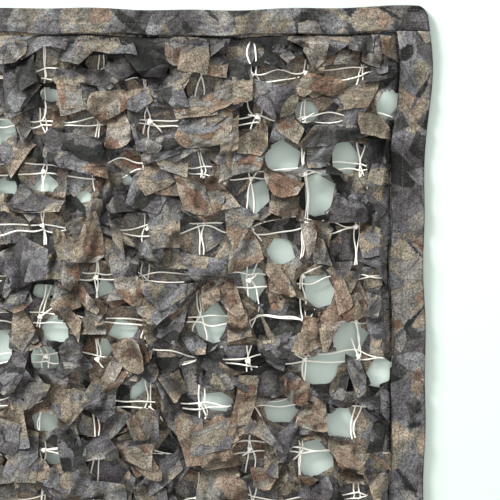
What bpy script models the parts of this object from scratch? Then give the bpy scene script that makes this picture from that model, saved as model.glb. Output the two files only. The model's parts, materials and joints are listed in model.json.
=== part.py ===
"""Camouflage net: one leaf-cut garnish cloth held between four folded edge bands.

Metres, +Z up.  The net lies face up on the surface z = 0, its longer side along Y.
"""

import math
from typing import NamedTuple

import bmesh
import bpy

# Mesh that the cloth is gathered onto: the pitch of its cords and their number.
PITCH_X = 0.0625
PITCH_Y = 0.0585
COLUMNS = 12
ROWS = 16

# Edge bands, as they lie after folding over the edge of the net.
SIDE_BAND = 0.040
END_BAND = 0.031
BAND_CLOTH = 0.001
BAND_MOUTH = 0.002

NET_WIDTH = COLUMNS * PITCH_X + 2 * SIDE_BAND
NET_LENGTH = ROWS * PITCH_Y + 2 * END_BAND
HALF_WIDTH = NET_WIDTH / 2
HALF_LENGTH = NET_LENGTH / 2

# Garnish cloth: its thickness, the loft of its folds and where it lies in a band's mouth.
CLOTH_THICKNESS = 0.0014
CLOTH_IN_BAND = 0.0013
LOFT = 0.0225
TUCK = 0.007
BAND_CLEARANCE = 0.004
CLOTH_STEP = 0.0255

# Bands that meet at a corner stay this far apart.
CORNER_GAP = 0.0006
BAND_STEP = 0.030

# The net pulls out of square over this distance from its bands.
PULL_DEPTH = 0.075
FLARE_OUT = 0.0105
FLARE_CENTRE = 0.066
FLARE_SPREAD = 0.055
FLARE_UP = 0.0042
FLARE_UP_SPREAD = 0.060

# Leaf gaps: a rounded outline with this power and number of points.
GAP_POWER = 2.5
GAP_POINTS = 14
CUT_DEPTH = 0.12


class Gap(NamedTuple):
    """One large gap in the cloth, placed from the net's top right corner."""

    name: str
    from_right: float
    from_top: float
    width: float
    height: float
    lean: float


GAPS = (
    Gap("gap_a", 0.172, 0.180, 0.040, 0.030, -8.0),
    Gap("gap_b", 0.098, 0.180, 0.028, 0.036, 6.0),
    Gap("gap_c", 0.127, 0.225, 0.031, 0.042, 4.0),
    Gap("gap_d", 0.200, 0.227, 0.026, 0.031, 0.0),
    Gap("gap_e", 0.127, 0.340, 0.029, 0.034, -6.0),
    Gap("gap_f", 0.205, 0.328, 0.024, 0.029, 5.0),
    Gap("gap_g", 0.091, 0.397, 0.034, 0.029, -10.0),
    Gap("gap_h", 0.129, 0.435, 0.042, 0.032, 6.0),
    Gap("gap_i", 0.173, 0.485, 0.034, 0.024, -5.0),
    Gap("gap_j", 0.101, 0.496, 0.034, 0.029, 8.0),
    Gap("gap_k", 0.135, 0.541, 0.032, 0.040, 4.0),
    Gap("gap_l", 0.256, 0.377, 0.036, 0.027, -6.0),
)


class Wave(NamedTuple):
    """One term of an uneven edge or surface."""

    height: float
    length: float
    start: float


# Unevenness of the four outer edges and of the bands' inner edges.
SIDE_WAVES = (Wave(0.0011, 0.31, 0.4), Wave(0.0008, 0.127, 1.9))
END_WAVES = (Wave(0.0015, 0.36, 2.2), Wave(0.0008, 0.118, 0.7))
HEM_WAVES = (Wave(0.0011, 0.150, 0.9), Wave(0.0007, 0.071, 2.6))


class Fold(NamedTuple):
    """One family of folds: its share of the loft, its wavelength and its heading."""

    share: float
    length: float
    heading: float
    start: float


FOLDS = (
    Fold(0.34, 0.148, 24.0, 0.3),
    Fold(0.30, 0.117, 103.0, 1.7),
    Fold(0.26, 0.091, 151.0, 4.1),
    Fold(0.22, 0.077, 62.0, 2.4),
)
FOLD_BASE = 0.40


def wave_sum(waves, along):
    """Height of an uneven edge at a distance along it."""
    return sum(w.height * math.sin(math.tau * along / w.length + w.start) for w in waves)


def ramp(distance, reach):
    """Smooth rise from 0 at no distance to 1 at the reach."""
    share = min(max(distance / reach, 0.0), 1.0)
    return share * share * (3 - 2 * share)


def bell(distance, spread):
    """Bell curve of height 1."""
    return math.exp(-(distance / spread) ** 2)


def pull(inset, band):
    """How much of an edge's unevenness reaches a point this far inside the edge."""
    return 1.0 - ramp(inset - band, PULL_DEPTH)


def lay(x, y):
    """Move a point of the square-cut net to where it lies, edges and corner pulled out."""
    from_top = HALF_LENGTH - y
    from_right = HALF_WIDTH - x
    right = wave_sum(SIDE_WAVES, y) + FLARE_OUT * bell(from_top - FLARE_CENTRE, FLARE_SPREAD)
    left = wave_sum(SIDE_WAVES, 0.8 - y)
    top = wave_sum(END_WAVES, x) + FLARE_UP * bell(from_right, FLARE_UP_SPREAD)
    bottom = wave_sum(END_WAVES, 0.5 - x)
    new_x = x + right * pull(HALF_WIDTH - x, SIDE_BAND) - left * pull(HALF_WIDTH + x, SIDE_BAND)
    new_y = y + top * pull(HALF_LENGTH - y, END_BAND) - bottom * pull(HALF_LENGTH + y, END_BAND)
    return new_x, new_y


def loft(x, y):
    """Height of the cloth's underside over the surface, 0 where it rests."""
    total = FOLD_BASE
    for fold in FOLDS:
        heading = math.radians(fold.heading)
        along = x * math.cos(heading) + y * math.sin(heading)
        total += fold.share * math.sin(math.tau * along / fold.length + fold.start)
    return LOFT * min(max(total, 0.0), 1.0)


def stations(low, high, step):
    """Evenly spaced values from low to high, at most a step apart."""
    count = math.ceil((high - low) / step)
    return [low + (high - low) * i / count for i in range(count + 1)]


def cloth_stations(half, band):
    """Grid lines of the cloth across one side of the net, with its margins in the bands."""
    edge = half - TUCK
    free = half - band - BAND_CLEARANCE
    return [-edge, *stations(-free, free, CLOTH_STEP), edge]


def grid_object(name, columns, rows, place):
    """Object of a grid whose point at column i and row j goes to place(columns[i], rows[j])."""
    shape = bmesh.new()
    wide = len(columns) - 1
    long = len(rows) - 1
    bmesh.ops.create_grid(shape, x_segments=wide, y_segments=long, size=0.5)
    for vert in shape.verts:
        i = round((vert.co.x + 0.5) * wide)
        j = round((vert.co.y + 0.5) * long)
        vert.co = place(columns[i], rows[j])
    mesh = bpy.data.meshes.new(name)
    shape.to_mesh(mesh)
    shape.free()
    return bpy.data.objects.new(name, mesh)


def thicken(piece, thickness, offset):
    """Give an open sheet its thickness."""
    wall = piece.modifiers.new("Thickness", "SOLIDIFY")
    wall.thickness = thickness
    wall.offset = offset
    wall.use_even_offset = False


def cloth_place(x, y):
    """Where a point of the garnish cloth's underside lies."""
    inside = min(HALF_WIDTH - SIDE_BAND - abs(x), HALF_LENGTH - END_BAND - abs(y))
    height = CLOTH_IN_BAND
    if inside > BAND_CLEARANCE * 1.5:
        height = loft(x, y)
    new_x, new_y = lay(x, y)
    return new_x, new_y, height


def gap_outline(gap):
    """Points round one leaf gap, in the laid net."""
    centre_x, centre_y = lay(HALF_WIDTH - gap.from_right, HALF_LENGTH - gap.from_top)
    lean = math.radians(gap.lean)
    points = []
    for k in range(GAP_POINTS):
        turn = math.tau * (k + 0.5) / GAP_POINTS
        cosine = math.cos(turn)
        sine = math.sin(turn)
        reach = (abs(cosine) ** GAP_POWER + abs(sine) ** GAP_POWER) ** (-1 / GAP_POWER)
        across = gap.width / 2 * reach * cosine
        up = gap.height / 2 * reach * sine
        points.append((
            centre_x + across * math.cos(lean) - up * math.sin(lean),
            centre_y + across * math.sin(lean) + up * math.cos(lean),
        ))
    return points


def make_gap_cutter(gap):
    """Upright prism that cuts one leaf gap."""
    shape = bmesh.new()
    corners = [shape.verts.new((x, y, -CUT_DEPTH / 2)) for x, y in gap_outline(gap)]
    floor = shape.faces.new(corners)
    walls = bmesh.ops.extrude_face_region(shape, geom=[floor])
    raised = [item for item in walls["geom"] if isinstance(item, bmesh.types.BMVert)]
    bmesh.ops.translate(shape, verts=raised, vec=(0, 0, CUT_DEPTH))
    bmesh.ops.recalc_face_normals(shape, faces=shape.faces)
    mesh = bpy.data.meshes.new(gap.name)
    shape.to_mesh(mesh)
    shape.free()
    cutter = bpy.data.objects.new(gap.name, mesh)
    cutter.hide_render = True
    cutter.display_type = "WIRE"
    return cutter


def make_cloth(parts, cutters):
    """Garnish cloth: one sheet with its loft and its largest gaps."""
    cloth = grid_object(
        "garnish_cloth",
        cloth_stations(HALF_WIDTH, SIDE_BAND),
        cloth_stations(HALF_LENGTH, END_BAND),
        cloth_place,
    )
    thicken(cloth, CLOTH_THICKNESS, 1.0)
    for gap in GAPS:
        cutter = make_gap_cutter(gap)
        cutters.objects.link(cutter)
        cut = cloth.modifiers.new(gap.name, "BOOLEAN")
        cut.operation = "DIFFERENCE"
        cut.solver = "EXACT"
        cut.object = cutter
    parts.objects.link(cloth)
    return cloth


def fold_section(width):
    """Section of a folded band: pairs of distance in from the fold and height."""
    low = BAND_CLOTH / 2
    high = BAND_CLOTH * 1.5 + BAND_MOUTH
    middle = (low + high) / 2
    bend = (high - low) / 2
    turn = [(bend - bend * math.cos(a), middle - bend * math.sin(a))
            for a in (math.radians(30), math.radians(-30))]
    half_width = width / 2
    return [(width, low), (half_width, low), (bend, low), *turn,
            (bend, high), (half_width, high), (width, high)]


def make_band(name, width, length, to_net, parts):
    """One edge band, folded over the edge of the net.

    to_net(along, inset) gives the place in the square-cut net of a point of the band.
    """
    section = fold_section(width)

    def place(along, step):
        """Where a point of the band's middle layer lies."""
        inset, height = section[step]
        to_end = length / 2 - abs(along)
        hem = wave_sum(HEM_WAVES, along + width) * ramp(to_end - SIDE_BAND, PULL_DEPTH)
        inset += hem * ramp(inset - width / 2, width / 2)
        x, y = lay(*to_net(along, inset))
        return x, y, height

    along = stations(-length / 2, length / 2, BAND_STEP)
    band = grid_object(name, along, list(range(len(section))), place)
    thicken(band, BAND_CLOTH, 0.0)
    parts.objects.link(band)
    return band


def make_bands(parts):
    """The four bands: the end bands run the full width, the side bands between them."""
    side = NET_LENGTH - 2 * (END_BAND + CORNER_GAP)
    return [
        make_band("band_top", END_BAND, NET_WIDTH,
                  lambda along, inset: (along, HALF_LENGTH - inset), parts),
        make_band("band_bottom", END_BAND, NET_WIDTH,
                  lambda along, inset: (-along, inset - HALF_LENGTH), parts),
        make_band("band_left", SIDE_BAND, side,
                  lambda along, inset: (inset - HALF_WIDTH, along), parts),
        make_band("band_right", SIDE_BAND, side,
                  lambda along, inset: (HALF_WIDTH - inset, -along), parts),
    ]


def make_material(name, colour, roughness):
    """Plain cloth finish."""
    finish = bpy.data.materials.new(name)
    finish.use_nodes = True
    shader = finish.node_tree.nodes["Principled BSDF"]
    shader.inputs["Base Color"].default_value = (*colour, 1.0)
    shader.inputs["Roughness"].default_value = roughness
    shader.inputs["Metallic"].default_value = 0.0
    return finish


def centre(pieces, cutters):
    """Shift the whole net so that its box is centred over the origin."""
    bpy.context.view_layer.update()
    corners = [piece.matrix_world @ vert.co for piece in pieces for vert in piece.data.vertices]
    shift_x = (min(c.x for c in corners) + max(c.x for c in corners)) / 2
    shift_y = (min(c.y for c in corners) + max(c.y for c in corners)) / 2
    for piece in [*pieces, *cutters.objects]:
        piece.location.x -= shift_x
        piece.location.y -= shift_y


def new_collection(name):
    """Collection linked into the scene."""
    collection = bpy.data.collections.new(name)
    bpy.context.scene.collection.children.link(collection)
    return collection


def main():
    """Build the net."""
    for old in list(bpy.data.objects):
        bpy.data.objects.remove(old, do_unlink=True)
    parts = new_collection("camouflage_net")
    cutters = new_collection("cutters")
    cloth = make_cloth(parts, cutters)
    bands = make_bands(parts)
    centre([cloth, *bands], cutters)
    cloth.data.materials.append(make_material("garnish_polyester", (0.150, 0.140, 0.125), 0.85))
    for band in bands:
        band.data.materials.append(make_material(band.name + "_cloth", (0.160, 0.150, 0.135), 0.85))


main()
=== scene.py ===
"""Camouflage net: leaf-cut garnish cloth on a cord mesh, with folded edge bands.

Metres, in the frame's axes.  The net lies face up, its longer side along Y.
"""

import json
import logging
import math
import random
from dataclasses import dataclass, field
from enum import Enum
from functools import cached_property

import bmesh
import bpy
import numpy as np
from mathutils import Matrix, Vector, noise
from mathutils.bvhtree import BVHTree


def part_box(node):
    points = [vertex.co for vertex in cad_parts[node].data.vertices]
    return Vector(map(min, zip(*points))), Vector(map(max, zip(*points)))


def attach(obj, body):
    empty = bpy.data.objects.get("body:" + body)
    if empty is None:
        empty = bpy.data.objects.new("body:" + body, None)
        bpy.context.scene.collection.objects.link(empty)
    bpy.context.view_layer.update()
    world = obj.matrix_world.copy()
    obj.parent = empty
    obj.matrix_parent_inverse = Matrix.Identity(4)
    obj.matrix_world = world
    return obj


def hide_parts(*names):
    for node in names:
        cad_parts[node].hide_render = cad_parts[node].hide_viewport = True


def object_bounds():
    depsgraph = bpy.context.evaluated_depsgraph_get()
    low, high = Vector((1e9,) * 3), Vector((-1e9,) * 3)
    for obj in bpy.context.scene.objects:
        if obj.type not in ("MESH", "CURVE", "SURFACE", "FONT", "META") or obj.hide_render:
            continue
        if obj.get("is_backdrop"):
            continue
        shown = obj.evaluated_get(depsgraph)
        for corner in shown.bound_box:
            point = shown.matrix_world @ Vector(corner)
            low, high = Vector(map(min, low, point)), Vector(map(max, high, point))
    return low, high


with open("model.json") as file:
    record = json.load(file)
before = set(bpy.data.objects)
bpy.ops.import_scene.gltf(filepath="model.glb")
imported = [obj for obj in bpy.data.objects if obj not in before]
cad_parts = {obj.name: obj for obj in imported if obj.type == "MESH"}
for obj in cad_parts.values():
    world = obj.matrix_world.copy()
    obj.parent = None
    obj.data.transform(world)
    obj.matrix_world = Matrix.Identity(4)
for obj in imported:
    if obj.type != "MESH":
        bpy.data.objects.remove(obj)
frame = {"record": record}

Array = np.ndarray
Pair = tuple[np.ndarray, np.ndarray]
Piece = bpy.types.Object
Socket = bpy.types.NodeSocket
Value = Socket | float | tuple[float, ...]
Stops = tuple[tuple[float, tuple[float, float, float]], ...]

LOG = logging.getLogger("camouflage_net")
BODY = "root"
SEED = 20
SPREAD_SHARE = 0.92          # how much of a lift the next points share
PRESS_SOFTNESS = 0.002
BAND_MOUTH_HEIGHT = 0.0027   # greatest height of the cloth where it goes under a band
BAND_MOUTH_SLOPE = 1.8       # how fast it may rise from there


# ---------------- layout of the net


@dataclass(frozen=True)
class Wave:
    """One term of an uneven edge."""

    height: float
    length: float
    start: float


def wave_sum(waves: tuple[Wave, ...], along: Array) -> Array:
    """Return an uneven edge's offset at distances along it."""
    return sum(wave.height * np.sin(math.tau * along / wave.length + wave.start) for wave in waves)


def ramp(distance: Array, reach: float) -> Array:
    """Return a smooth rise from 0 at no distance to 1 at the reach."""
    share = np.clip(distance / reach, 0.0, 1.0)
    return share * share * (3 - 2 * share)


def turned(x: Array, y: Array, angle: float) -> Pair:
    """Turn places about the origin by an angle in radians."""
    cosine, sine = math.cos(angle), math.sin(angle)
    return x * cosine - y * sine, x * sine + y * cosine


def mesh_points(mesh: bpy.types.Mesh) -> Array:
    """Read a mesh's points.

    Args:
        mesh: the mesh.

    Returns:
        The points, one row each.
    """
    points = np.empty(len(mesh.vertices) * 3, np.float32)
    mesh.vertices.foreach_get("co", points)
    return points.reshape(-1, 3).astype(float)


def move_points(mesh: bpy.types.Mesh, points: Array) -> None:
    """Move a mesh's points."""
    mesh.vertices.foreach_set("co", points.astype(np.float32).ravel())


def note_values(mesh: bpy.types.Mesh, name: str, values: Array) -> None:
    """Keep a value at each of a mesh's points, which its material reads."""
    layer = mesh.attributes.new(name, "FLOAT", "POINT")
    layer.data.foreach_set("value", values.astype(np.float32))


def lifted(mesh: bpy.types.Mesh, height: Array, floor: Array, rounds: int) -> Array:
    """Lift a cloth's points over what lies beneath, and those round them with them.

    Args:
        mesh: the cloth's mesh.
        height: its points' heights.
        floor: the least height at each point.
        rounds: how many points outwards a lift spreads.

    Returns:
        The lifted heights.
    """
    ends = np.empty(len(mesh.edges) * 2, np.int32)
    mesh.edges.foreach_get("vertices", ends)
    first, second = ends.reshape(-1, 2).T
    degree = np.bincount(ends, minlength=len(height)).clip(1)
    lift = np.maximum(floor - height, 0)
    for _ in range(rounds):
        spread = np.bincount(first, lift[second], len(height))
        spread += np.bincount(second, lift[first], len(height))
        lift = np.maximum(lift, SPREAD_SHARE * spread / degree)
    return height + lift


def pressed(height: Array, highest: float) -> Array:
    """Press heights softly under the greatest that the cloth may reach."""
    height = highest - np.logaddexp(0, (highest - height) / PRESS_SOFTNESS) * PRESS_SOFTNESS
    return highest - np.abs(height - highest)


def cut_across(shape: bmesh.types.BMesh, point: tuple[float, ...], normal: tuple[float, ...],
               clear: bool = False) -> None:
    """Cut a shape along a plane and, if it is to be cleared, drop what lies behind."""
    bmesh.ops.bisect_plane(shape, geom=shape.verts[:] + shape.edges[:] + shape.faces[:], dist=1e-6,
                           plane_co=point, plane_no=normal, clear_inner=clear)


def new_piece(name: str, shape: bmesh.types.BMesh) -> Piece:
    """Make a smooth piece of a shape, which is used up.

    Args:
        name: the piece's name.
        shape: the shape.

    Returns:
        The piece.
    """
    mesh = bpy.data.meshes.new(name)
    shape.to_mesh(mesh)
    shape.free()
    mesh.shade_smooth()
    piece = bpy.data.objects.new(name, mesh)
    bpy.context.scene.collection.objects.link(piece)
    return piece


@dataclass(frozen=True)
class Gap:
    """A gap between leaves: a rounded outline with its middle in the laid net."""

    x: float
    y: float
    width: float
    height: float
    power: float = 2.5
    uneven: float = 0.0

    def rim(self, x: Array, y: Array) -> Array:
        """Measure how far out points are: 0 at the middle, 1 on the uneven outline.

        Args:
            x: places along X.
            y: places along Y.

        Returns:
            The measure at each point.
        """
        across, up = (x - self.x) * 2 / self.width, (y - self.y) * 2 / self.height
        level = (np.abs(across) ** self.power + np.abs(up) ** self.power) ** (1 / self.power)
        heading = np.arctan2(up, across)
        start = 911 * self.x + 577 * self.y
        wave = (0.5 * np.sin(2 * heading + start) + 0.6 * np.sin(3 * heading + 2.3 * start)
                + 0.35 * np.sin(5 * heading + 3.1 * start))
        return level / (1 + self.uneven * wave)

    def reach(self, heading: float) -> float:
        """Measure how far the outline stands out from its middle towards a heading.

        Args:
            heading: the heading, in radians.

        Returns:
            The distance.
        """
        dual = self.power / (self.power - 1)
        across = abs(self.width / 2 * math.cos(heading)) ** dual
        up = abs(self.height / 2 * math.sin(heading)) ** dual
        return (across + up) ** (1 / dual)


@dataclass(frozen=True)
class NetPlan:
    """Where the net's edges, bands and mesh crossings lie."""

    width: float = 0.83
    length: float = 0.998
    side_band: float = 0.040
    end_band: float = 0.031
    pull_depth: float = 0.075
    flare_out: float = 0.0105
    flare_centre: float = 0.066
    flare_spread: float = 0.055
    flare_up: float = 0.0042
    flare_up_spread: float = 0.060
    side_waves: tuple[Wave, ...] = (Wave(0.0011, 0.31, 0.4), Wave(0.0008, 0.127, 1.9))
    end_waves: tuple[Wave, ...] = (Wave(0.0015, 0.36, 2.2), Wave(0.0008, 0.118, 0.7))
    hem_waves: tuple[Wave, ...] = (Wave(0.0011, 0.150, 0.9), Wave(0.0007, 0.071, 2.6))
    columns: int = 12
    rows: int = 16
    column_pitch: float = 0.0626
    row_pitch: float = 0.0566
    first_column: float = 0.082
    first_row: float = 0.078
    sag: float = 0.021
    sag_row: float = 4.0
    sag_spread: float = 1.6
    set_width: float = 0.44      # of the corner whose leaves are listed one by one
    set_length: float = 0.60

    def bell(self, distance: Array, spread: float) -> Array:
        """Return a bell curve of height 1."""
        return np.exp(-(distance / spread) ** 2)

    def edge_offsets(self, x: Array, y: Array) -> tuple[Array, ...]:
        """Work out how far the uneven outer edges stand out beside a point.

        Args:
            x: places across the square-cut net, from its middle.
            y: places along the square-cut net, from its middle.

        Returns:
            The right, left, top and bottom edges' offsets, outwards.
        """
        from_right, from_top = self.width / 2 - x, self.length / 2 - y
        right = wave_sum(self.side_waves, y)
        right = right + self.flare_out * self.bell(from_top - self.flare_centre, self.flare_spread)
        left = wave_sum(self.side_waves, 0.8 - y)
        top = wave_sum(self.end_waves, x) + self.flare_up * self.bell(from_right, self.flare_up_spread)
        bottom = wave_sum(self.end_waves, 0.5 - x)
        return right, left, top, bottom

    def pulls(self, x: Array, y: Array) -> Pair:
        """Work out how far uneven edges move a point of the square-cut net.

        Args:
            x: places across the net, from its middle.
            y: places along the net, from its middle.

        Returns:
            The moves along X and along Y.
        """
        half_x, half_y = self.width / 2, self.length / 2
        right, left, top, bottom = self.edge_offsets(x, y)
        right = right * (1 - ramp(half_x - x - self.side_band, self.pull_depth))
        left = left * (1 - ramp(half_x + x - self.side_band, self.pull_depth))
        top = top * (1 - ramp(half_y - y - self.end_band, self.pull_depth))
        bottom = bottom * (1 - ramp(half_y + y - self.end_band, self.pull_depth))
        return right - left, top - bottom

    @cached_property
    def shift(self) -> tuple[float, float]:
        """Work out the shift that centres the uneven net over the frame's origin.

        Returns:
            The shift along X and along Y.
        """
        half_x, half_y = self.width / 2, self.length / 2
        along_y = np.linspace(-half_y, half_y, 400)
        along_x = np.linspace(-half_x, half_x, 400)
        right = (self.pulls(np.full(400, half_x), along_y)[0]).max()
        left = (self.pulls(np.full(400, -half_x), along_y)[0]).min()
        top = (self.pulls(along_x, np.full(400, half_y))[1]).max()
        bottom = (self.pulls(along_x, np.full(400, -half_y))[1]).min()
        return -(right + left) / 2, -(top + bottom) / 2

    def lay(self, x: Array, y: Array) -> Pair:
        """Move points of the square-cut net to where they lie.

        Args:
            x: places across the net, from its middle.
            y: places along the net, from its middle.

        Returns:
            The places in the frame along X and along Y.
        """
        x = np.asarray(x, float)
        y = np.asarray(y, float)
        move_x, move_y = self.pulls(x, y)
        shift_x, shift_y = self.shift
        return x + move_x + shift_x, y + move_y + shift_y

    @property
    def opening(self) -> tuple[float, float]:
        """Return the width and length between the bands."""
        return self.width - 2 * self.side_band, self.length - 2 * self.end_band

    def from_corner(self, from_right: Array, from_top: Array) -> Pair:
        """Return places in the frame from distances to the net's top right corner."""
        return self.lay(self.width / 2 - from_right, self.length / 2 - from_top)

    def column_x(self, column: float) -> float:
        """Return a mesh column's place across the square-cut net."""
        return self.width / 2 - self.first_column - self.column_pitch * column

    def row_y(self, row: float) -> float:
        """Return a mesh row's place along the square-cut net."""
        sag = self.sag * math.exp(-((row - self.sag_row) / self.sag_spread) ** 2)
        return self.length / 2 - self.first_row - self.row_pitch * row - sag

    def hand_set(self, x: float, y: float) -> bool:
        """Return whether a place lies in the corner whose leaves are listed one by one."""
        return self.width / 2 - x < self.set_width and self.length / 2 - y < self.set_length

    def margins(self, x: Array, y: Array) -> tuple[Array, ...]:
        """Measure from points of the laid net to the four bands' inner edges.

        Args:
            x: places in the frame along X.
            y: places in the frame along Y.

        Returns:
            Distances to the right, left, top and bottom bands, negative under a band.
        """
        shift_x, shift_y = self.shift
        x = np.asarray(x, float) - shift_x
        y = np.asarray(y, float) - shift_y
        right, left, top, bottom = self.edge_offsets(x, y)
        across = self.width / 2 - self.side_band
        along = self.length / 2 - self.end_band
        return across + right - x, across + left + x, along + top - y, along + bottom + y

    def inside(self, x: Array, y: Array) -> Array:
        """Return how far inside the bands' inner edges points of the laid net are."""
        right, left, top, bottom = self.margins(x, y)
        return np.minimum(np.minimum(right, left), np.minimum(top, bottom))


class Relief:
    """Height of the topmost layer over the surface, on a fine square grid."""

    def __init__(self, low: Vector, high: Vector, cell: float = 0.0025) -> None:
        """Start level.

        Args:
            low: lowest corner of the area.
            high: highest corner of the area.
            cell: side of a grid square.
        """
        self.cell = cell
        self.low = np.array([low.x, low.y]) - 0.02
        self.count = np.ceil((np.array([high.x, high.y]) + 0.02 - self.low) / cell).astype(int) + 1
        self.tops = np.zeros(tuple(self.count))
        self.ring = np.array([(math.cos(a), math.sin(a)) for a in np.arange(8) * math.tau / 8])

    def squares(self, places: Array) -> Pair:
        """Find the grid squares that places lie in.

        Args:
            places: the places, one row each.

        Returns:
            The squares' columns and rows.
        """
        index = np.floor((places - self.low) / self.cell).astype(int)
        index = np.clip(index, 1, self.count - 2)
        return index[:, 0], index[:, 1]

    def top(self, places: Array) -> Array:
        """Return the height just under each place."""
        return self.tops[self.squares(places)]

    def soft_top(self, places: Array, reach: float) -> Array:
        """Average the height round each place.

        Args:
            places: the places.
            reach: radius of the outer ring that is averaged.

        Returns:
            The mean height round each place.
        """
        total = self.top(places)
        for part in (0.5, 1.0):
            for step in self.ring:
                total = total + self.top(places + step * reach * part)
        return total / (1 + 2 * len(self.ring))

    def pile(self, places: Array, heights: Array, spread: int = 1) -> None:
        """Raise the grid to a layer's height.

        Args:
            places: places of the layer's points.
            heights: heights of the layer's points.
            spread: how many squares round its own each point covers.
        """
        column, row = self.squares(places)
        for across in range(-spread, spread + 1):
            for up in range(-spread, spread + 1):
                i = np.clip(column + across, 0, self.count[0] - 1)
                j = np.clip(row + up, 0, self.count[1] - 1)
                np.maximum.at(self.tops, (i, j), heights)


@dataclass(frozen=True)
class Crumple:
    """Random flat facets that meet in creases, as crumpled cloth has them."""

    side: float
    pitch: float
    depth: float
    seed: int

    @cached_property
    def facets(self) -> BVHTree:
        """Make the facets: an uneven grid with random heights, cut into triangles.

        Returns:
            The facets, ready for casting.
        """
        pick = random.Random(self.seed)
        shape = bmesh.new()
        count = round(self.side / self.pitch)
        bmesh.ops.create_grid(shape, x_segments=count, y_segments=count, size=self.side / 2)
        for vert in shape.verts:
            vert.co.x += pick.uniform(-0.42, 0.42) * self.pitch
            vert.co.y += pick.uniform(-0.42, 0.42) * self.pitch
            vert.co.z = pick.uniform(-1, 1) * self.depth
        bmesh.ops.triangulate(shape, faces=shape.faces[:], quad_method="SHORT_EDGE")
        tree = BVHTree.FromBMesh(shape)
        shape.free()
        return tree

    def at(self, places: Array) -> Array:
        """Return the facets' heights.

        Args:
            places: places across and along, in metres.

        Returns:
            A height at each place.
        """
        half = self.side / 2 - 2 * self.pitch
        wrapped = np.abs((places + half) % (4 * half) - 2 * half) - half
        down = Vector((0, 0, -1))
        cast = self.facets.ray_cast
        start = 2 * self.depth
        return np.array([cast(Vector((x, y, start)), down)[0].z for x, y in wrapped])


# ---------------- garnish cloth


FOLDS = Crumple(0.60, 0.023, 0.0090, 31)
CREASES = Crumple(0.40, 0.0115, 0.0038, 32)


class Cut(Enum):
    """Outline that a leaf is cut to."""

    PATCH = "patch"
    TONGUE = "tongue"
    WEDGE = "wedge"


PATCH, TONGUE, WEDGE = Cut


@dataclass(frozen=True)
class Crease:
    """A straight crease across a leaf, in the leaf's own flat coordinates."""

    x: float
    y: float
    heading: float
    bend: float
    softness: float = 0.0008


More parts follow.
